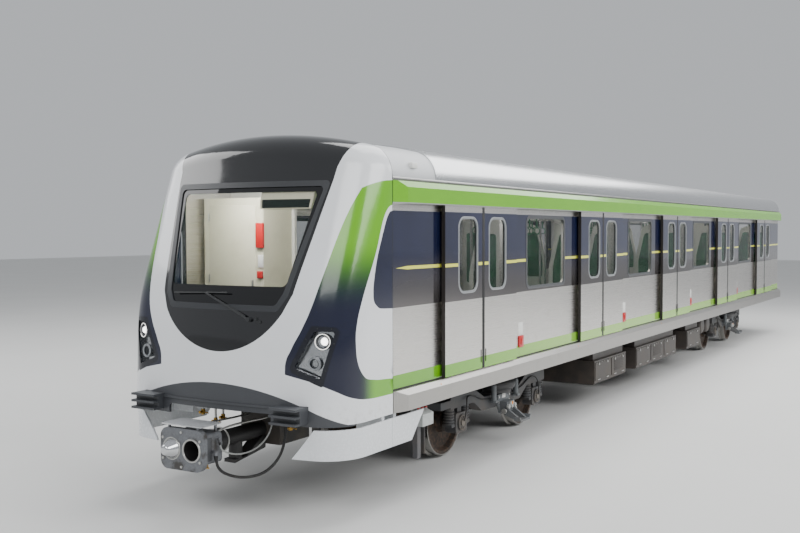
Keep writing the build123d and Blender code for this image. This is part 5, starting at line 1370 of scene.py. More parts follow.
@dataclass
class Coupler:
    """The automatic coupler ahead of the nose, with its rims, bolts, cocks and pipes."""

    middle_z: float = 0.715
    # Each rim's place across, its distance behind the face, its radius and its wire's
    rims: tuple[tuple[float, float, float, float], ...] = (
        (0.125, -0.001, 0.106, 0.010), (-0.125, -0.001, 0.104, 0.008),
        (0.0, 0.42, 0.119, 0.009), (0.0, 0.53, 0.119, 0.009))
    bolt_x: float = 0.235
    bolt_z: float = 0.10
    middle_bolt_z: float = 0.165
    bolt_size: Pair = (0.014, 0.010)
    head_low: float = 0.15
    cock_x: float = 0.16
    cock_behind: float = 0.16
    cock_high: Pair = (0.006, -0.045)
    cock_radius: float = 0.020
    lever_drop: float = 0.030
    lever: Pair = (0.055, -0.025)
    lever_radius: float = 0.008
    block_half: float = 0.07
    block_behind: Pair = (0.09, 0.23)
    block_below: Pair = (0.205, 0.145)
    # Points of each pipe clipped to the shank: across, behind the face and above the middle
    shank_pipes: tuple[Triples, ...] = (
        ((0.14, 0.28, 0.11), (0.15, 0.42, 0.155), (0.15, 0.75, 0.155), (0.15, 1.00, 0.14),
         (0.16, 1.20, 0.15)),
        ((-0.14, 0.28, 0.11), (-0.15, 0.42, 0.150), (-0.15, 0.75, 0.150), (-0.15, 1.00, 0.14),
         (-0.16, 1.20, 0.15)))
    shank_pipe_radius: float = 0.011
    # Each air pipe's place across, its distance behind the face and its cock's height
    drops: Triples = (
        (0.34, 0.98, 0.86), (0.50, 1.02, 0.80), (-0.34, 0.96, 0.84), (-0.48, 1.00, 0.78), (-0.58, 0.92, 0.88))
    drop_radius: float = 0.012
    # Ends, radius and flats of each bar of a cock: its body, its bonnet and its lever
    cock_bars: tuple[tuple[Triple, Triple, float, int], ...] = (
        ((0, 0, -0.030), (0, 0, 0.030), 0.022, 18), ((0, -0.055, 0), (0, 0.010, 0), 0.015, 16),
        ((0, 0, 0), (0.075, 0, -0.012), 0.006, 10))
    # Low and high face and radius of the flange where a pipe leaves the floor
    flange: Triple = (-0.012, 0.002, 0.026)

    def build(self) -> None:
        """Makes and dresses everything on the coupler."""
        dress("coupler", CouplerSteel())
        dress("rear_drawbar", FRAME_GREY)
        self.face_details()
        self.pipework()
        self.drop_pipes()

    def face_details(self) -> None:
        """Adds the rims, the face's bolts and the cocks under the head."""
        rims = Shape("coupler_rims")
        for x, behind, radius, wire in self.rims:
            rims.ring((x, FACE_Y + behind, self.middle_z), BACK, radius, wire)
        rims.done(ZINC, "coupler_steel")
        bolts = Shape("coupler_bolts")
        corners = [(x, z) for x in (-self.bolt_x, self.bolt_x) for z in (self.bolt_z, -self.bolt_z)]
        for x, z in corners + [(0.0, self.middle_bolt_z), (0.0, -self.middle_bolt_z)]:
            bolts.bolt((x, FACE_Y, self.middle_z + z), FORWARD, *self.bolt_size)
        bolts.done(ZINC, "coupler_steel")
        cocks = Shape("coupler_cocks")
        y = FACE_Y + self.cock_behind
        low = self.middle_z - self.head_low
        for x in (-self.cock_x, self.cock_x):
            cocks.rod((x, y, low + self.cock_high[0]), (x, y, low + self.cock_high[1]), self.cock_radius, 16)
            cocks.rod((x, y, low - self.lever_drop),
                      (x + self.lever[0], y + self.lever[1], low - self.lever_drop), self.lever_radius, 10)
        cocks.box(*[(half, FACE_Y + behind, self.middle_z - below) for half, behind, below in zip(
            (-self.block_half, self.block_half), self.block_behind, self.block_below)], 0.008)
        cocks.done(BRASS, "coupler_steel")

    def pipework(self) -> None:
        """Adds the pipes clipped along the coupler's shank."""
        routes = [[(x, FACE_Y + behind, self.middle_z + up) for x, behind, up in run]
                  for run in self.shank_pipes]
        pipe("coupler_pipes", routes, self.shank_pipe_radius, ZINC)

    def drop_pipes(self) -> None:
        """Adds the short air pipes with their cocks that come down from the floor behind the valance."""
        floor = Skin("floor_frame")
        cocks = Shape("air_cocks")
        routes = []
        under, over, radius = self.flange
        for x, behind, low in self.drops:
            y = FACE_Y + behind
            top = floor.hit((x, y, 0.6), UP)[0].z
            routes.append([(x, y, top + 0.004), (x, y, (top + low) / 2), (x, y, low)])
            spot = Vector((x, y, low))
            for start, end, thick, sides in self.cock_bars:
                cocks.rod(spot + Vector(start), spot + Vector(end), thick, sides)
            cocks.rod((x, y, top + under), (x, y, top + over), radius, 18)
        pipe("air_pipes", routes, self.drop_radius, ZINC)
        cocks.done(BRASS, "frame_grey")


@dataclass
class BodySides:
    """Side walls, windows, header, sill and the small fittings along the sides."""

    window_z: float = 2.507
    window: Pair = (1.332, 0.962)
    window_corner: float = 0.106
    window_border: float = 0.044
    window_sunk: float = 0.0075
    window_proud: float = 0.0125
    release_z: float = 1.450
    release_from_pair: float = 1.20
    release_half: float = 0.070
    release_sunk: float = 0.002
    # Low and high edges from the release's middle height, and how far each stands out
    label: Triple = (0.005, 0.165, 0.004)
    case: Triple = (-0.155, -0.005, 0.018)
    handle: Triple = (-0.120, -0.040, 0.027)
    handle_half: float = 0.022
    screws: int = 20
    screw_pitch: float = 1.065
    screw_first: float = 0.06
    screw_z: float = 1.13
    screw_size: Pair = (0.007, 0.003)
    mark_from_pair: float = -1.02
    mark_z: float = 1.125
    mark_radius: float = 0.010

    def build(self) -> None:
        """Makes and dresses everything on the sides."""
        for node in ("side_wall_right", "side_wall_left"):
            dress(node, SideSkin())
        dress("side_window_panes", CLEAR_GLASS)
        dress("door_headers", CoverPaint())
        dress("side_sills", SILL_STEEL)
        for side in Side:
            self.window_frames(side)
            self.releases(side)
            self.sill_fasteners(side)

    def window_frames(self, side: Side) -> None:
        """Adds the dark frames round the body windows of one side."""
        shape = Shape(f"window_frames_{side.tag}")
        x = side.value * (PANEL_X - self.window_sunk)
        for y in PANEL_MIDDLES:
            shape.window_ring((x, y, self.window_z), self.window, self.window_corner, self.window_border,
                              self.window_proud, side)
        shape.done(WINDOW_TRIM, "stainless")

    def releases(self, side: Side) -> None:
        """Adds the red emergency release behind each door pair, with the bare label plate above it."""
        label = Shape(f"release_cases_{side.tag}")
        red = Shape(f"release_grips_{side.tag}")
        s = side.value
        x = PANEL_X - self.release_sunk
        half = self.release_half
        for middle in PAIR_MIDDLES[:4]:
            y = middle + self.release_from_pair
            for shape, (low, high, proud), wide, start, round_by in (
                    (label, self.label, half, 0.0, 0.002), (red, self.case, half, 0.0, 0.006),
                    (red, self.handle, self.handle_half, self.case[2] - 0.001, 0.004)):
                shape.box((s * (x + start), y - wide, self.release_z + low),
                          (s * (x + proud), y + wide, self.release_z + high), round_by)
        label.done(WHITE_PAINT, "stainless")
        red.done(RED_PAINT, "stainless")

    def sill_fasteners(self, side: Side) -> None:
        """Adds the screws and small orange marks along the side sill."""
        screws = Shape(f"sill_screws_{side.tag}")
        marks = Shape(f"sill_marks_{side.tag}")
        skin = Skin("side_sills")
        for i in range(self.screws):
            y = SEAM_Y + self.screw_first + i * self.screw_pitch
            screws.bolt(*skin.beside(y, self.screw_z, side), *self.screw_size)
        for middle in PAIR_MIDDLES:
            spot, normal = skin.beside(middle + self.mark_from_pair, self.mark_z, side)
            marks.rod(spot - normal * 0.001, spot + normal * 0.002, self.mark_radius, 14)
        screws.done(ZINC, "stainless")
        marks.done(ORANGE_PAINT, "stainless")


@dataclass
class Doors:
    """The sliding leaves: their skin, window frames and edge rubbers, each on its own leaf."""

    window_z: float = 2.515
    window: Pair = (0.488, 0.874)
    corner: float = 0.136
    border: float = 0.030
    window_sunk: float = 0.0135
    window_proud: float = 0.0165
    window_from_seam: float = 0.378
    rubber_edges: Pair = (0.0012, 0.030)
    rubber_x: Pair = (-0.040, 0.0022)
    leaf_z: Pair = (1.184, 3.060)

    def build(self) -> None:
        """Makes and dresses all twenty leaves."""
        skin = SideSkin("leaf_skin", leaf=True)
        for side in Side:
            for k, middle in enumerate(PAIR_MIDDLES, 1):
                for end, sign in (("front", -1), ("rear", 1)):
                    node = f"door_{side.tag}_{k}_{end}"
                    dress(node, skin)
                    self.leaf(node, side, middle, sign)

    def leaf(self, node: str, side: Side, middle: float, sign: int) -> None:
        """Adds one leaf's window frame and its edge rubber.

        Args:
            node: The leaf's CAD node and body.
            side: The car's side.
            middle: The door pair's middle.
            sign: -1 for the leaf nearer the nose, 1 for the other.
        """
        s = side.value
        trim = Shape(f"{node}_window_frame")
        place = (s * (LEAF_X - self.window_sunk), middle + sign * self.window_from_seam, self.window_z)
        trim.window_ring(place, self.window, self.corner, self.border, self.window_proud, side)
        trim.done(LEAF_TRIM, "stainless", node)
        rubber = Shape(f"{node}_edge_rubber")
        corners = [(s * (LEAF_X + x), middle + sign * y, z)
                   for x, y, z in zip(self.rubber_x, self.rubber_edges, self.leaf_z)]
        rubber.box(*corners, 0.002)
        rubber.done(RUBBER, "stainless", node)


@dataclass
class Roof:
    """The ribbed roof, its drip rails, the small fittings near the nose and the cooling units."""

    rail_x: Pair = (1.418, 1.440)
    rail_lip_x: float = 1.434
    rail_z: Pair = (3.305, 3.317)
    rail_lip_z: float = 3.334
    rail_short: float = 0.01
    beacon_at: Pair = (-9.08, 3.47)
    beacon_half: Pair = (0.055, 0.03)
    beacon_x: Pair = (0.05, 0.045)
    aerials_at: Pairs = ((0.35, -9.05), (-0.35, -9.05), (0.35, 10.2))
    aerial_radii: Pair = (0.09, 0.085)
    aerial_half: float = 0.004
    unit_y: Pair = (-4.16, 5.14)
    fan_offset: float = 0.88
    fan_radius: float = 0.31
    fan_z: float = 3.715
    blades: int = 7
    blade_ends: Pair = (0.055, 0.018)
    blade_half: Pair = (0.030, 0.062)
    blade_tilt: float = 0.022
    blade_root_share: float = 0.6
    blade_thick: float = 0.004
    bolt_x: float = 0.775
    bolts_along: int = 13
    bolt_pitch: float = 0.30
    bolt_size: Pair = (0.010, 0.003)

    def build(self) -> None:
        """Makes and dresses everything on the roof."""
        dress("roof", ROOF_STEEL)
        dress("roof_units", UNIT_STEEL)
        self.drip_rails()
        self.front_fittings()
        self.fans()
        self.unit_bolts()

    def drip_rails(self) -> None:
        """Adds the thin drip rail along each edge of the roof."""
        shape = Shape("drip_rails")
        inner, outer = self.rail_x
        low, high = self.rail_z
        start, end = SEAM_Y + self.rail_short, BODY_END_Y - self.rail_short
        for side in Side:
            s = side.value
            shape.box((s * inner, start, low), (s * outer, end, high), 0.003)
            shape.box((s * self.rail_lip_x, start, low), (s * outer, end, self.rail_lip_z), 0.002)
        shape.done(SHEET_STEEL, "roof_grey")

    def front_fittings(self) -> None:
        """Adds the small white fitting beside the cab roof on each side and three low aerials."""
        skin = Skin("roof")
        shape = Shape("roof_fittings")
        half_y, half_z = self.beacon_half
        inner, outer = self.beacon_x
        for side in Side:
            spot, _ = skin.beside(*self.beacon_at, side)
            shape.box(spot + Vector((-side.value * inner, -half_y, -half_z)),
                      spot + Vector((side.value * outer, half_y, half_z)), 0.012)
        rise = Vector((0, 0, self.aerial_half))
        for x, y in self.aerials_at:
            spot, _ = skin.above(x, y)
            shape.rod(spot - rise, spot + rise, self.aerial_radii[0], 28, self.aerial_radii[1])
        shape.done(WHITE_PAINT, "roof_grey")

    def fans(self) -> None:
        """Adds the blades under each guard."""
        shape = Shape("fan_blades")
        root_half, tip_half = self.blade_half
        tilt = Vector((0, 0, self.blade_tilt))
        root_tilt = tilt * self.blade_root_share
        for unit in self.unit_y:
            for offset in (-self.fan_offset, self.fan_offset):
                hub = Vector((0, unit + offset, self.fan_z))
                for blade in range(self.blades):
                    angle = 2 * math.pi * blade / self.blades
                    out = Vector((math.cos(angle), math.sin(angle), 0))
                    cross = Vector((-out.y, out.x, 0))
                    root = hub + out * self.blade_ends[0]
                    tip = hub + out * (self.fan_radius - self.blade_ends[1])
                    shape.plate([root - cross * root_half - root_tilt, tip - cross * tip_half - tilt,
                                 tip + cross * tip_half + tilt, root + cross * root_half + root_tilt],
                                (0, 0, self.blade_thick))
        shape.done(DARK_PLASTIC, "roof_grey", smooth=False)

    def unit_bolts(self) -> None:
        """Adds the bolts along each cooling unit's edges."""
        shape = Shape("unit_bolts")
        skin = Skin("roof_units")
        first = -(self.bolts_along - 1) / 2 * self.bolt_pitch
        for unit in self.unit_y:
            for i in range(self.bolts_along):
                for x in (-self.bolt_x, self.bolt_x):
                    shape.bolt(*skin.above(x, unit + first + i * self.bolt_pitch), *self.bolt_size)
        shape.done(ZINC, "roof_grey")


@dataclass
class Saloon:
    """What shows through the windows: ceiling lights, glazed screens, seats, poles and straps."""

    light_x: float = 0.86
    lights_along: int = 12
    light_first: float = -8.55
    light_pitch: float = 1.60
    light_long: float = 1.42
    light_half: float = 0.055
    light_z: Pair = (3.276, 3.290)
    trim_border: float = 0.013
    trim_ends: float = 0.02
    trim_z: Pair = (3.283, 3.2903)
    screen_from_pair: float = 0.748
    screen_glass: Pairs = (
        (1.285, 1.895), (0.955, 1.895), (0.955, 2.262), (1.062, 2.755), (1.285, 2.755))
    screen_thick: float = 0.008
    handles_per_side: int = 9
    handle_pitch: float = 0.24
    handle_x: float = 0.83
    strap_half: Pair = (0.012, 0.004)
    strap_z: Pair = (2.84, 3.002)
    ring_z: float = 2.79
    ring: Pair = (0.055, 0.008)

    def build(self) -> None:
        """Makes and dresses everything in the saloon."""
        for node, finish in (("ceiling", CEILING_WHITE), ("end_wall", LAMINATE), ("gangway", FOLD_RUBBER),
                             ("cab_bulkhead", LAMINATE), ("draught_screens", LAMINATE),
                             ("grab_poles", TUBE_STEEL), ("saloon_seats", SEAT_GREEN)):
            dress(node, finish)
        self.lights()
        self.screens()
        self.handles()

    def lights(self) -> None:
        """Adds the light strips along the ceiling."""
        lit = Shape("ceiling_lights")
        trim = Shape("ceiling_light_trims")
        border = self.light_half + self.trim_border
        for side in Side:
            x = side.value * self.light_x
            for i in range(self.lights_along):
                y = self.light_first + i * self.light_pitch
                end = y + self.light_long
                lit.box((x - self.light_half, y, self.light_z[0]),
                        (x + self.light_half, end, self.light_z[1]), 0.004)
                trim.box((x - border, y - self.trim_ends, self.trim_z[0]),
                         (x + border, end + self.trim_ends, self.trim_z[1]), 0.003)
        lit.done(LIT_WHITE, "interior_white")
        trim.done(LEAF_TRIM, "interior_white")

    def screens(self) -> None:
        """Adds the green glass in the draught screens beside each doorway."""
        shape = Shape("screen_glass_panels")
        for middle in PAIR_MIDDLES:
            for offset in (-self.screen_from_pair, self.screen_from_pair):
                for side in Side:
                    y = middle + offset - self.screen_thick / 2
                    outline = [(side.value * x, y, z) for x, z in self.screen_glass]
                    shape.plate(outline, (0, self.screen_thick, 0), 0.03)
        shape.done(GREEN_GLASS, "interior_white", smooth=False)

    def handles(self) -> None:
        """Adds the hanging straps' rings on the high rails."""
        shape = Shape("hand_rings")
        half_x, half_y = self.strap_half
        for middle in PANEL_MIDDLES:
            for side in Side:
                for i in range(self.handles_per_side):
                    y = middle + (i - (self.handles_per_side - 1) / 2) * self.handle_pitch
                    x = side.value * self.handle_x
                    shape.box((x - half_x, y - half_y, self.strap_z[0]),
                              (x + half_x, y + half_y, self.strap_z[1]), 0.002)
                    shape.ring((x, y, self.ring_z), BACK, *self.ring, 14, 6)
        shape.done(SEAT_GREEN, "interior_white")


@dataclass
class Cab:
    """What shows through the windscreen: cabinets, console, red equipment cases and the display case."""

    # Each piece's name and finish, with the corners and the edges' radius of its blocks
    blocks: tuple[tuple[str, Finish, tuple[tuple[Triple, Triple, float], ...]], ...] = (
        ("cabinet_doors", CabLaminate(), (
            ((-1.20, -9.316, 1.32), (-0.52, -9.306, 3.08), 0.004),
            ((0.66, -9.216, 1.30), (1.20, -9.206, 2.84), 0.004))),
        ("cabinet_hinges", ZINC, (((-0.575, -9.326, 2.10), (-0.550, -9.315, 2.24), 0.003),)),
        ("cab_red_cases", RED_PAINT, (
            ((-0.50, -9.345, 2.60), (-0.40, -9.305, 2.88), 0.008),
            ((-0.49, -9.335, 2.26), (-0.42, -9.305, 2.34), 0.005))),
        ("cab_white_plates", WHITE_PAINT, (((-0.485, -9.320, 2.38), (-0.415, -9.305, 2.52), 0.003),)),
        ("console_top", DARK_PLASTIC, (
            ((-0.57, -10.10, 1.90), (-0.27, -10.04, 2.08), 0.010),
            ((-0.15, -10.10, 1.90), (0.15, -10.04, 2.08), 0.010),
            ((0.27, -10.10, 1.90), (0.57, -10.04, 2.08), 0.010),
            ((-0.755, -10.283, 1.953), (0.755, -10.12, 1.965), 0.0))),
        ("console_screens", DISPLAY_GLOW, (
            ((-0.55, -10.0405, 1.925), (-0.29, -10.0385, 2.06), 0.0),
            ((-0.13, -10.0405, 1.925), (0.13, -10.0385, 2.06), 0.0),
            ((0.29, -10.0405, 1.925), (0.55, -10.0385, 2.06), 0.0))),
    )
    # Ends and radius of each of the tall cabinet's hinges
    hinges: tuple[tuple[Triple, Triple, float], ...] = (
        ((-1.205, -9.32, 1.5), (-1.205, -9.32, 1.59), 0.008),
        ((-1.205, -9.32, 2.2), (-1.205, -9.32, 2.29), 0.008),
        ((-1.205, -9.32, 2.9), (-1.205, -9.32, 2.99), 0.008))
    # Foot, shoulder and top of the red bottle, with its radius and its neck's
    bottle: Triples = ((0.56, -8.86, 1.21), (0.56, -8.86, 1.62), (0.56, -8.86, 1.68))
    bottle_radii: Pair = (0.055, 0.02)

    def build(self) -> None:
        """Makes and dresses everything in the cab."""
        dress("cab_fittings", CabLaminate())
        for name, finish, blocks in self.blocks:
            shape = Shape(name)
            for low, high, round_by in blocks:
                shape.box(low, high, round_by)
            if name == "cabinet_hinges":
                for low, high, radius in self.hinges:
                    shape.rod(low, high, radius, 12)
            if name == "cab_red_cases":
                foot, shoulder, top = self.bottle
                wide, neck = self.bottle_radii
                shape.rod(foot, shoulder, wide, 24)
                shape.rod(shoulder, top, wide, 24, neck)
            shape.done(finish, "cab_cream", smooth=name != "console_screens")


@dataclass
class Underframe:
    """The floor frame and what hangs from it: cases, tanks, junction box, pipes and cables."""

    # Start, end and number of lids of each row of cases
    case_rows: tuple[tuple[float, float, int], ...] = ((-3.42, -1.93, 2), (-1.38, 1.07, 3), (1.87, 2.87, 1))
    case_x: float = 1.298
    case_z: Pair = (0.385, 0.755)
    lid_gap: float = 0.03
    latches_at: Pair = (0.22, 0.78)
    latch_half: float = 0.018
    latch_below_top: Pair = (0.075, 0.040)
    latch_proud: float = 0.012
    hinge_half: float = 0.05
    hinge_up: float = 0.066
    hinge_proud: float = 0.004
    hinge_radius: float = 0.007
    lid_bolts: int = 6
    lid_bolt_inset: float = 0.06
    lid_bolt_below_top: float = 0.035
    lid_bolt: Pair = (0.006, 0.004)
    slats: int = 7
    slat_first: float = 0.12
    slat_pitch: float = 0.027
    slat_inset: float = 0.12
    slat: Pair = (0.007, 0.013)
    caps: int = 3
    cap_x: float = 1.315
    cap_z: Pair = (0.868, 0.884)
    cap_radius: float = 0.0175
    box_face_x: float = 1.390
    box_screw_inset: float = 0.025
    box_screws_z: Pair = (0.715, 0.795)
    pipes_x: Pair = (1.16, 1.10)
    pipes_z: float = 0.985
    pipes_y: tuple[float, ...] = (-4.7, -2.0, 2.0, 4.7)
    pipe_radius: float = 0.014
    cables: int = 4
    cable_first: float = 1.02
    cable_pitch: float = 0.035
    # Each cable's points: how far it goes outward, then its place along and up
    cable_run: Triples = (
        (0.0, -3.45, 0.99), (0.0, -3.72, 0.985), (0.02, -3.86, 0.93), (0.04, -3.93, 0.84),
        (0.05, -4.02, 0.985), (0.0, -4.3, 0.988))
    cable_radius: float = 0.012

    def build(self) -> None:
        """Makes and dresses everything under the floor."""
        dress("floor_frame", FRAME_GREY)
        dress("equipment_cases", CASE_PAINT)
        dress("junction_box", BOX_PAINT)
        for side in Side:
            self.case_details(side)
        self.terminals()
        self.runs()

    def case_details(self, side: Side) -> None:
        """Adds latches, hinges, lid bolts and grilles to the cases of one side."""
        metal = Shape(f"case_latches_{side.tag}")
        grille = Shape(f"case_grilles_{side.tag}")
        for start, end, lids in self.case_rows:
            long = (end - start) / lids
            for i in range(lids):
                span = (start + i * long + self.lid_gap, start + (i + 1) * long - self.lid_gap)
                self.lid_metal(metal, side.value, *span)
                if i % 2:
                    self.slats_on(grille, side.value, *span)
        metal.done(ZINC, "case_brown")
        grille.done(CASE_PAINT, "case_brown")

    def lid_metal(self, metal: Shape, s: int, y0: float, y1: float) -> None:
        """Adds one lid's latches, hinges and bolts.

        Args:
            metal: The shape that takes them.
            s: The side's sign.
            y0: The lid's front edge.
            y1: The lid's rear edge.
        """
        low, high = self.case_z
        for share in self.latches_at:
            y = y0 + (y1 - y0) * share
            below, above = self.latch_below_top
            metal.box((s * self.case_x, y - self.latch_half, high - below),
                      (s * (self.case_x + self.latch_proud), y + self.latch_half, high - above), 0.003)
            hinge = (s * (self.case_x + self.hinge_proud), low + self.hinge_up)
            metal.rod((hinge[0], y - self.hinge_half, hinge[1]), (hinge[0], y + self.hinge_half, hinge[1]),
                      self.hinge_radius, 10)
        pitch = (y1 - y0 - 2 * self.lid_bolt_inset) / (self.lid_bolts - 1)
        for j in range(self.lid_bolts):
            y = y0 + self.lid_bolt_inset + j * pitch
            metal.bolt((s * self.case_x, y, high - self.lid_bolt_below_top), (s, 0, 0), *self.lid_bolt)

    def slats_on(self, grille: Shape, s: int, y0: float, y1: float) -> None:
        """Adds a grille's slats to one lid."""
        proud, high = self.slat
        for row in range(self.slats):
            z = self.case_z[0] + self.slat_first + row * self.slat_pitch
            grille.box((s * self.case_x, y0 + self.slat_inset, z),
                       (s * (self.case_x + proud), y1 - self.slat_inset, z + high), 0.003)

    def terminals(self) -> None:
        """Adds the red caps on the junction box's terminals and its lid screws."""
        caps = Shape("terminal_caps")
        low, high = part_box("junction_box")
        for i in range(self.caps):
            y = low.y + (i + 0.5) * (high.y - low.y) / self.caps
            caps.rod((self.cap_x, y, self.cap_z[0]), (self.cap_x, y, self.cap_z[1]), self.cap_radius, 18)
        caps.done(RED_PAINT, "box_grey")
        screws = Shape("junction_screws")
        for y in (low.y + self.box_screw_inset, high.y - self.box_screw_inset):
            for z in self.box_screws_z:
                screws.bolt((self.box_face_x, y, z), (1, 0, 0), *self.lid_bolt)
        screws.done(ZINC, "box_grey")

    def runs(self) -> None:
        """Adds the air pipes and the cables clipped under the floor."""
        pipes = [[(side.value * x, y, self.pipes_z) for y in self.pipes_y]
                 for side in Side for x in self.pipes_x]
        pipe("floor_pipes", pipes, self.pipe_radius, ZINC)
        cables = [[(side.value * (self.cable_first + i * self.cable_pitch + out), y, z)
                   for out, y, z in self.cable_run] for side in Side for i in range(self.cables)]
        pipe("floor_cables", cables, self.cable_radius, HOSE_BLACK)


@dataclass
class Bogie:
    """One bogie: frame, wheelsets, springs, dampers, motors and collector gear."""

    end: str
    box_x: float = 1.073
    cover_ring: Pair = (0.086, 0.006)
    cover_deep: Pair = (0.001, 0.012)
    cover_radius: float = 0.044
    cover_bolts: int = 8
    cover_bolt_circle: float = 0.070
    cover_bolt: Pair = (0.009, 0.009)
    spring_x: float = 0.980
    spring_offset: float = 0.186
    folds: int = 5
    fold_first: float = 0.022
    fold_pitch: float = 0.034
    fold_radius: Pair = (0.0695, 0.0008)
    fold_wire: float = 0.008
    damper_x: float = 1.105
    damper_offset: float = 0.33
    # Low end, high end, radius and flats of the damper's two tubes
    damper_tubes: tuple[tuple[float, float, float, int], ...] = (
        (0.60, 0.80, 0.034, 20), (0.80, 0.905, 0.018, 16))
    # Half length, low and high edge of the brackets at its ends
    damper_feet: Triples = ((0.035, 0.575, 0.605), (0.030, 0.895, 0.920))
    damper_feet_x: Pair = (1.050, 1.150)
    clamp: Triple = (0.735, 0.222, 0.010)
    insulators_at: tuple[float, ...] = (-0.09, 0.0, 0.09)
    insulator_x: Pair = (1.184, 1.216)
    insulator: Pair = (0.50, 0.030)
    # Half length, and edges across and up
    insulator_block: tuple[float, ...] = (0.055, 1.180, 1.215, 0.515, 0.560)
    orange_mark: tuple[float, ...] = (0.022, 1.2145, 1.2170, 0.519, 0.556)
    white_label: tuple[float, ...] = (0.05, 1.0845, 1.0875, 0.595, 0.655)
    gear_bolt_offset: float = 0.155
    gear_bolts_z: Pair = (0.62, 0.55)
    gear_x: float = 1.085
    gear_bolt: Pair = (0.014, 0.012)
    pin_at: Pair = (1.165, 0.44)
    pin: Pair = (0.012, 0.034)
    # Each lead's points, from the axlebox: across, toward the bogie's middle, and height
    lead_run: Triples = (
        (1.094, 0.0, 0.473), (1.11, 0.02, 0.553), (1.10, 0.06, 0.70), (1.068, 0.12, 0.755),
        (1.066, 0.30, 0.745), (1.066, 0.55, 0.640), (1.066, 0.80, 0.630))
    lead_radius: float = 0.009

    def build(self) -> None:
        """Makes and dresses everything on the bogie."""
        self.pivot = PIVOTS[self.end]
        self.body = f"bogie_{self.end}"
        dress(f"bogie_frame_{self.end}", BOGIE_PAINT)
        dress(f"traction_motors_{self.end}", MOTOR_PAINT)
        dress(f"collector_gear_{self.end}", BRACKET_PAINT)
        self.axles = {tag: AXLES[(self.end, tag)] for tag in ("leading", "trailing")}
        for tag, y in self.axles.items():
            dress(f"wheelset_{self.end}_{tag}", WheelSteel(f"wheel_steel_{self.end}_{tag}", y))
        for side in Side:
            self.axle_ends(side)
            self.springs(side)
            self.shoe_gear(side)
            self.leads(side)

    def finish(self, shape: Shape, finish: Finish, slot: str = "bogie_grey") -> None:
        """Closes one of the bogie's own shapes."""
        shape.done(finish, slot, self.body)

    def named(self, name: str, side: Side) -> Shape:
        """Starts a shape that is named for this bogie and a side."""
        return Shape(f"{name}_{self.end}_{side.tag}")

    def axle_ends(self, side: Side) -> None:
        """Adds the cover bolts, rim and sensor on each axlebox."""
        s = side.value
        shape = self.named("axlebox_fittings", side)
        for y in self.axles.values():
            shape.ring((s * self.box_x, y, AXLE_Z), (s, 0, 0), *self.cover_ring, 24, 6)
            shape.rod((s * (self.box_x - self.cover_deep[0]), y, AXLE_Z),
                      (s * (self.box_x + self.cover_deep[1]), y, AXLE_Z), self.cover_radius, 24)
            for i in range(self.cover_bolts):
                angle = 2 * math.pi * (i + 0.5) / self.cover_bolts
                spot = (s * self.box_x, y + self.cover_bolt_circle * math.cos(angle),
                        AXLE_Z + self.cover_bolt_circle * math.sin(angle))
                shape.bolt(spot, (s, 0, 0), *self.cover_bolt)
        self.finish(shape, AXLE_CAP)

    def springs(self, side: Side) -> None:
        """Adds the grooved rubber on the axlebox springs, the dampers and the air spring's clamp ring."""
        s = side.value
        rubber = self.named("spring_rubbers", side)
        for axle in self.axles.values():
            for y in (axle - self.spring_offset, axle + self.spring_offset):
                for i in range(self.folds):
                    z = AXLE_Z + self.fold_first + i * self.fold_pitch
                    radius = self.fold_radius[0] - i * self.fold_radius[1]
                    rubber.ring((s * self.spring_x, y, z), UP, radius, self.fold_wire, 20, 6)
        self.finish(rubber, RUBBER)
        metal = self.named("dampers", side)
        near, far = self.damper_feet_x
        for y in (self.pivot - self.damper_offset, self.pivot + self.damper_offset):
            for low, high, radius, sides in self.damper_tubes:
                metal.rod((s * self.damper_x, y, low), (s * self.damper_x, y, high), radius, sides)
            for half, low, high in self.damper_feet:
                metal.box((s * near, y - half, low), (s * far, y + half, high), 0.006)
        clamp_z, clamp_radius, wire = self.clamp
        metal.ring((s * self.spring_x, self.pivot, clamp_z), UP, clamp_radius, wire, 32, 6)
        self.finish(metal, BRACKET_PAINT)

    def block(self, shape: Shape, s: int, sizes: Sequence[float], round_by: float) -> None:
        """Adds a block over the bogie's middle, by its half length, its edges across and its edges up."""
        half, x0, x1, z0, z1 = sizes
        shape.box((s * x0, self.pivot - half, z0), (s * x1, self.pivot + half, z1), round_by)

    def shoe_gear(self, side: Side) -> None:
        """Adds the insulators, bolts, pins and bare labels on the collector gear."""
        s = side.value
        y = self.pivot
        pale = self.named("shoe_insulators", side)
        near, far = self.insulator_x
        z, radius = self.insulator
        for offset in self.insulators_at:
            pale.rod((s * near, y + offset, z), (s * far, y + offset, z), radius, 20)
        self.block(pale, s, self.insulator_block, 0.006)
        self.finish(pale, INSULATOR, "shoe_gear")
        metal = self.named("shoe_fasteners", side)
        pin_x, pin_z = self.pin_at
        pin_half, pin_radius = self.pin
        for offset in (-self.gear_bolt_offset, self.gear_bolt_offset):
            for z in self.gear_bolts_z:
                metal.bolt((s * self.gear_x, y + offset, z), (s, 0, 0), *self.gear_bolt)
            metal.rod((s * pin_x, y + offset - pin_half, pin_z), (s * pin_x, y + offset + pin_half, pin_z),
                      pin_radius, 20)
        self.finish(metal, ZINC, "shoe_gear")
        for name, sizes, finish in (("shoe_marks", self.orange_mark, ORANGE_PAINT),
                                    ("shoe_labels", self.white_label, WHITE_PAINT)):
            plate = self.named(name, side)
            self.block(plate, s, sizes, 0.001)
            self.finish(plate, finish, "shoe_gear")

    def leads(self, side: Side) -> None:
        """Adds the sensor leads along the side beam."""
        routes = [[(side.value * x, axle - sign * inward, z) for x, inward, z in self.lead_run]
                  for axle, sign in zip(self.axles.values(), (-1, 1))]
        name = f"bogie_leads_{self.end}_{side.tag}"
        pipe(name, routes, self.lead_radius, HOSE_BLACK, self.body)


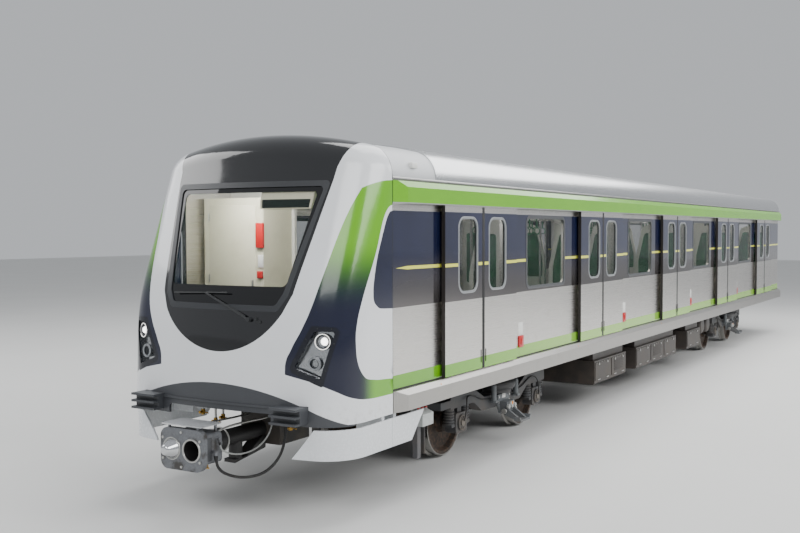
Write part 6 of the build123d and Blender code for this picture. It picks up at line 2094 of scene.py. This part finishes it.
@dataclass(frozen=True)
class Softbox:
    """A broad soft light that stands round the car."""

    place: Triple
    size: Pair
    power: float
    aim_y: float = -3.0

    def build(self, name: str) -> None:
        """Makes the light and turns it to the car."""
        lamp = area_lamp(name, self.place, self.size, self.power)
        aim = Vector((0, self.aim_y, 1.8)) - Vector(self.place)
        lamp.rotation_euler = aim.to_track_quat("-Z", "Y").to_euler()


def area_lamp(name: str, place: Point, size: Pair, power: float) -> bpy.types.Object:
    """Makes a rectangular lamp.

    Args:
        name: Its name.
        place: Where it stands.
        size: Its width and height.
        power: Its power in watts.

    Returns:
        The new lamp.
    """
    light = bpy.data.lights.new(name, "AREA")
    light.shape = "RECTANGLE"
    light.size, light.size_y = size
    light.energy = power
    lamp = bpy.data.objects.new(name, light)
    lamp.location = place
    bpy.context.scene.collection.objects.link(lamp)
    return lamp


@dataclass
class Studio:
    """Pale floor, soft lights and the camera at the photograph's angle."""

    camera_place: Triple = (6.680, -17.886, 2.783)
    pan: float = 29.42
    tilt: float = 87.95
    roll: float = 0.05
    lens: float = 44.21
    film_width: float = 36.0
    shift_x: float = -0.0496
    far_clip: float = 500.0
    floor_size: float = 160.0
    sky: float = 0.62
    sky_colour: Colour = (0.86, 0.89, 0.93, 1)
    cab_light: float = 42.0
    cab_light_place: Triple = (0, -9.80, 3.30)
    cab_light_size: Pair = (1.7, 0.3)
    cab_light_aim: Triple = (0, 0.55, -1)
    lights: tuple[Softbox, ...] = (
        Softbox((2.0, 3.0, 15.0), (12.0, 26.0), 3800.0),
        Softbox((19.0, -9.0, 13.0), (16.0, 8.0), 2800.0),
        Softbox((-17.0, -12.0, 12.0), (14.0, 8.0), 1300.0),
        Softbox((5.0, -27.0, 15.0), (16.0, 8.0), 2000.0),
        Softbox((19.0, 12.0, 13.0), (16.0, 8.0), 1600.0, 6.0),
    )

    def build(self) -> None:
        """Makes the floor, the lights and the camera."""
        self.floor()
        world = bpy.data.worlds.new("studio_world")
        world.use_nodes = True
        sky = world.node_tree.nodes["Background"].inputs
        sky["Color"].default_value = self.sky_colour
        sky["Strength"].default_value = self.sky
        bpy.context.scene.world = world
        for i, light in enumerate(self.lights):
            light.build(f"softbox_{i}")
        lamp = area_lamp("cab_lamp", self.cab_light_place, self.cab_light_size, self.cab_light)
        lamp.rotation_euler = Vector(self.cab_light_aim).to_track_quat("-Z", "Y").to_euler()
        lamp.visible_camera = False
        self.camera()

    def floor(self) -> None:
        """Makes the pale floor."""
        ground = bmesh.new()
        bmesh.ops.create_grid(ground, x_segments=1, y_segments=1, size=self.floor_size / 2)
        mesh = bpy.data.meshes.new("studio_floor")
        ground.to_mesh(mesh)
        ground.free()
        floor = bpy.data.objects.new("studio_floor", mesh)
        bpy.context.scene.collection.objects.link(floor)
        g = Graph("studio_floor")
        g.put("Base Color", g.mix(g.noise(0.4, 3), srgb(206, 206, 204), srgb(214, 214, 212)))
        g.put("Roughness", 0.75)
        mesh.materials.append(g.material)

    def camera(self) -> None:
        """Makes the camera and hands it to the scene."""
        lens = bpy.data.cameras.new("camera")
        lens.lens = self.lens
        lens.sensor_width = self.film_width
        lens.sensor_fit = "HORIZONTAL"
        lens.shift_x = self.shift_x
        lens.clip_end = self.far_clip
        camera = bpy.data.objects.new("camera", lens)
        camera.location = self.camera_place
        camera.rotation_euler = (math.radians(self.tilt), math.radians(self.roll), math.radians(self.pan))
        bpy.context.scene.collection.objects.link(camera)
        bpy.context.scene.camera = camera


def main() -> None:
    """Builds every sub-assembly in order."""
    logging.basicConfig(level=logging.INFO, format="%(name)s: %(message)s")
    for part in (Studio(), Hoses(), Nose(), Coupler(), BodySides(), Doors(), Roof(), Saloon(), Cab(),
                 Underframe(), Bogie("front"), Bogie("rear")):
        LOG.info("building %s", type(part).__name__)
        part.build()


if __name__ == "__main__":
    main()
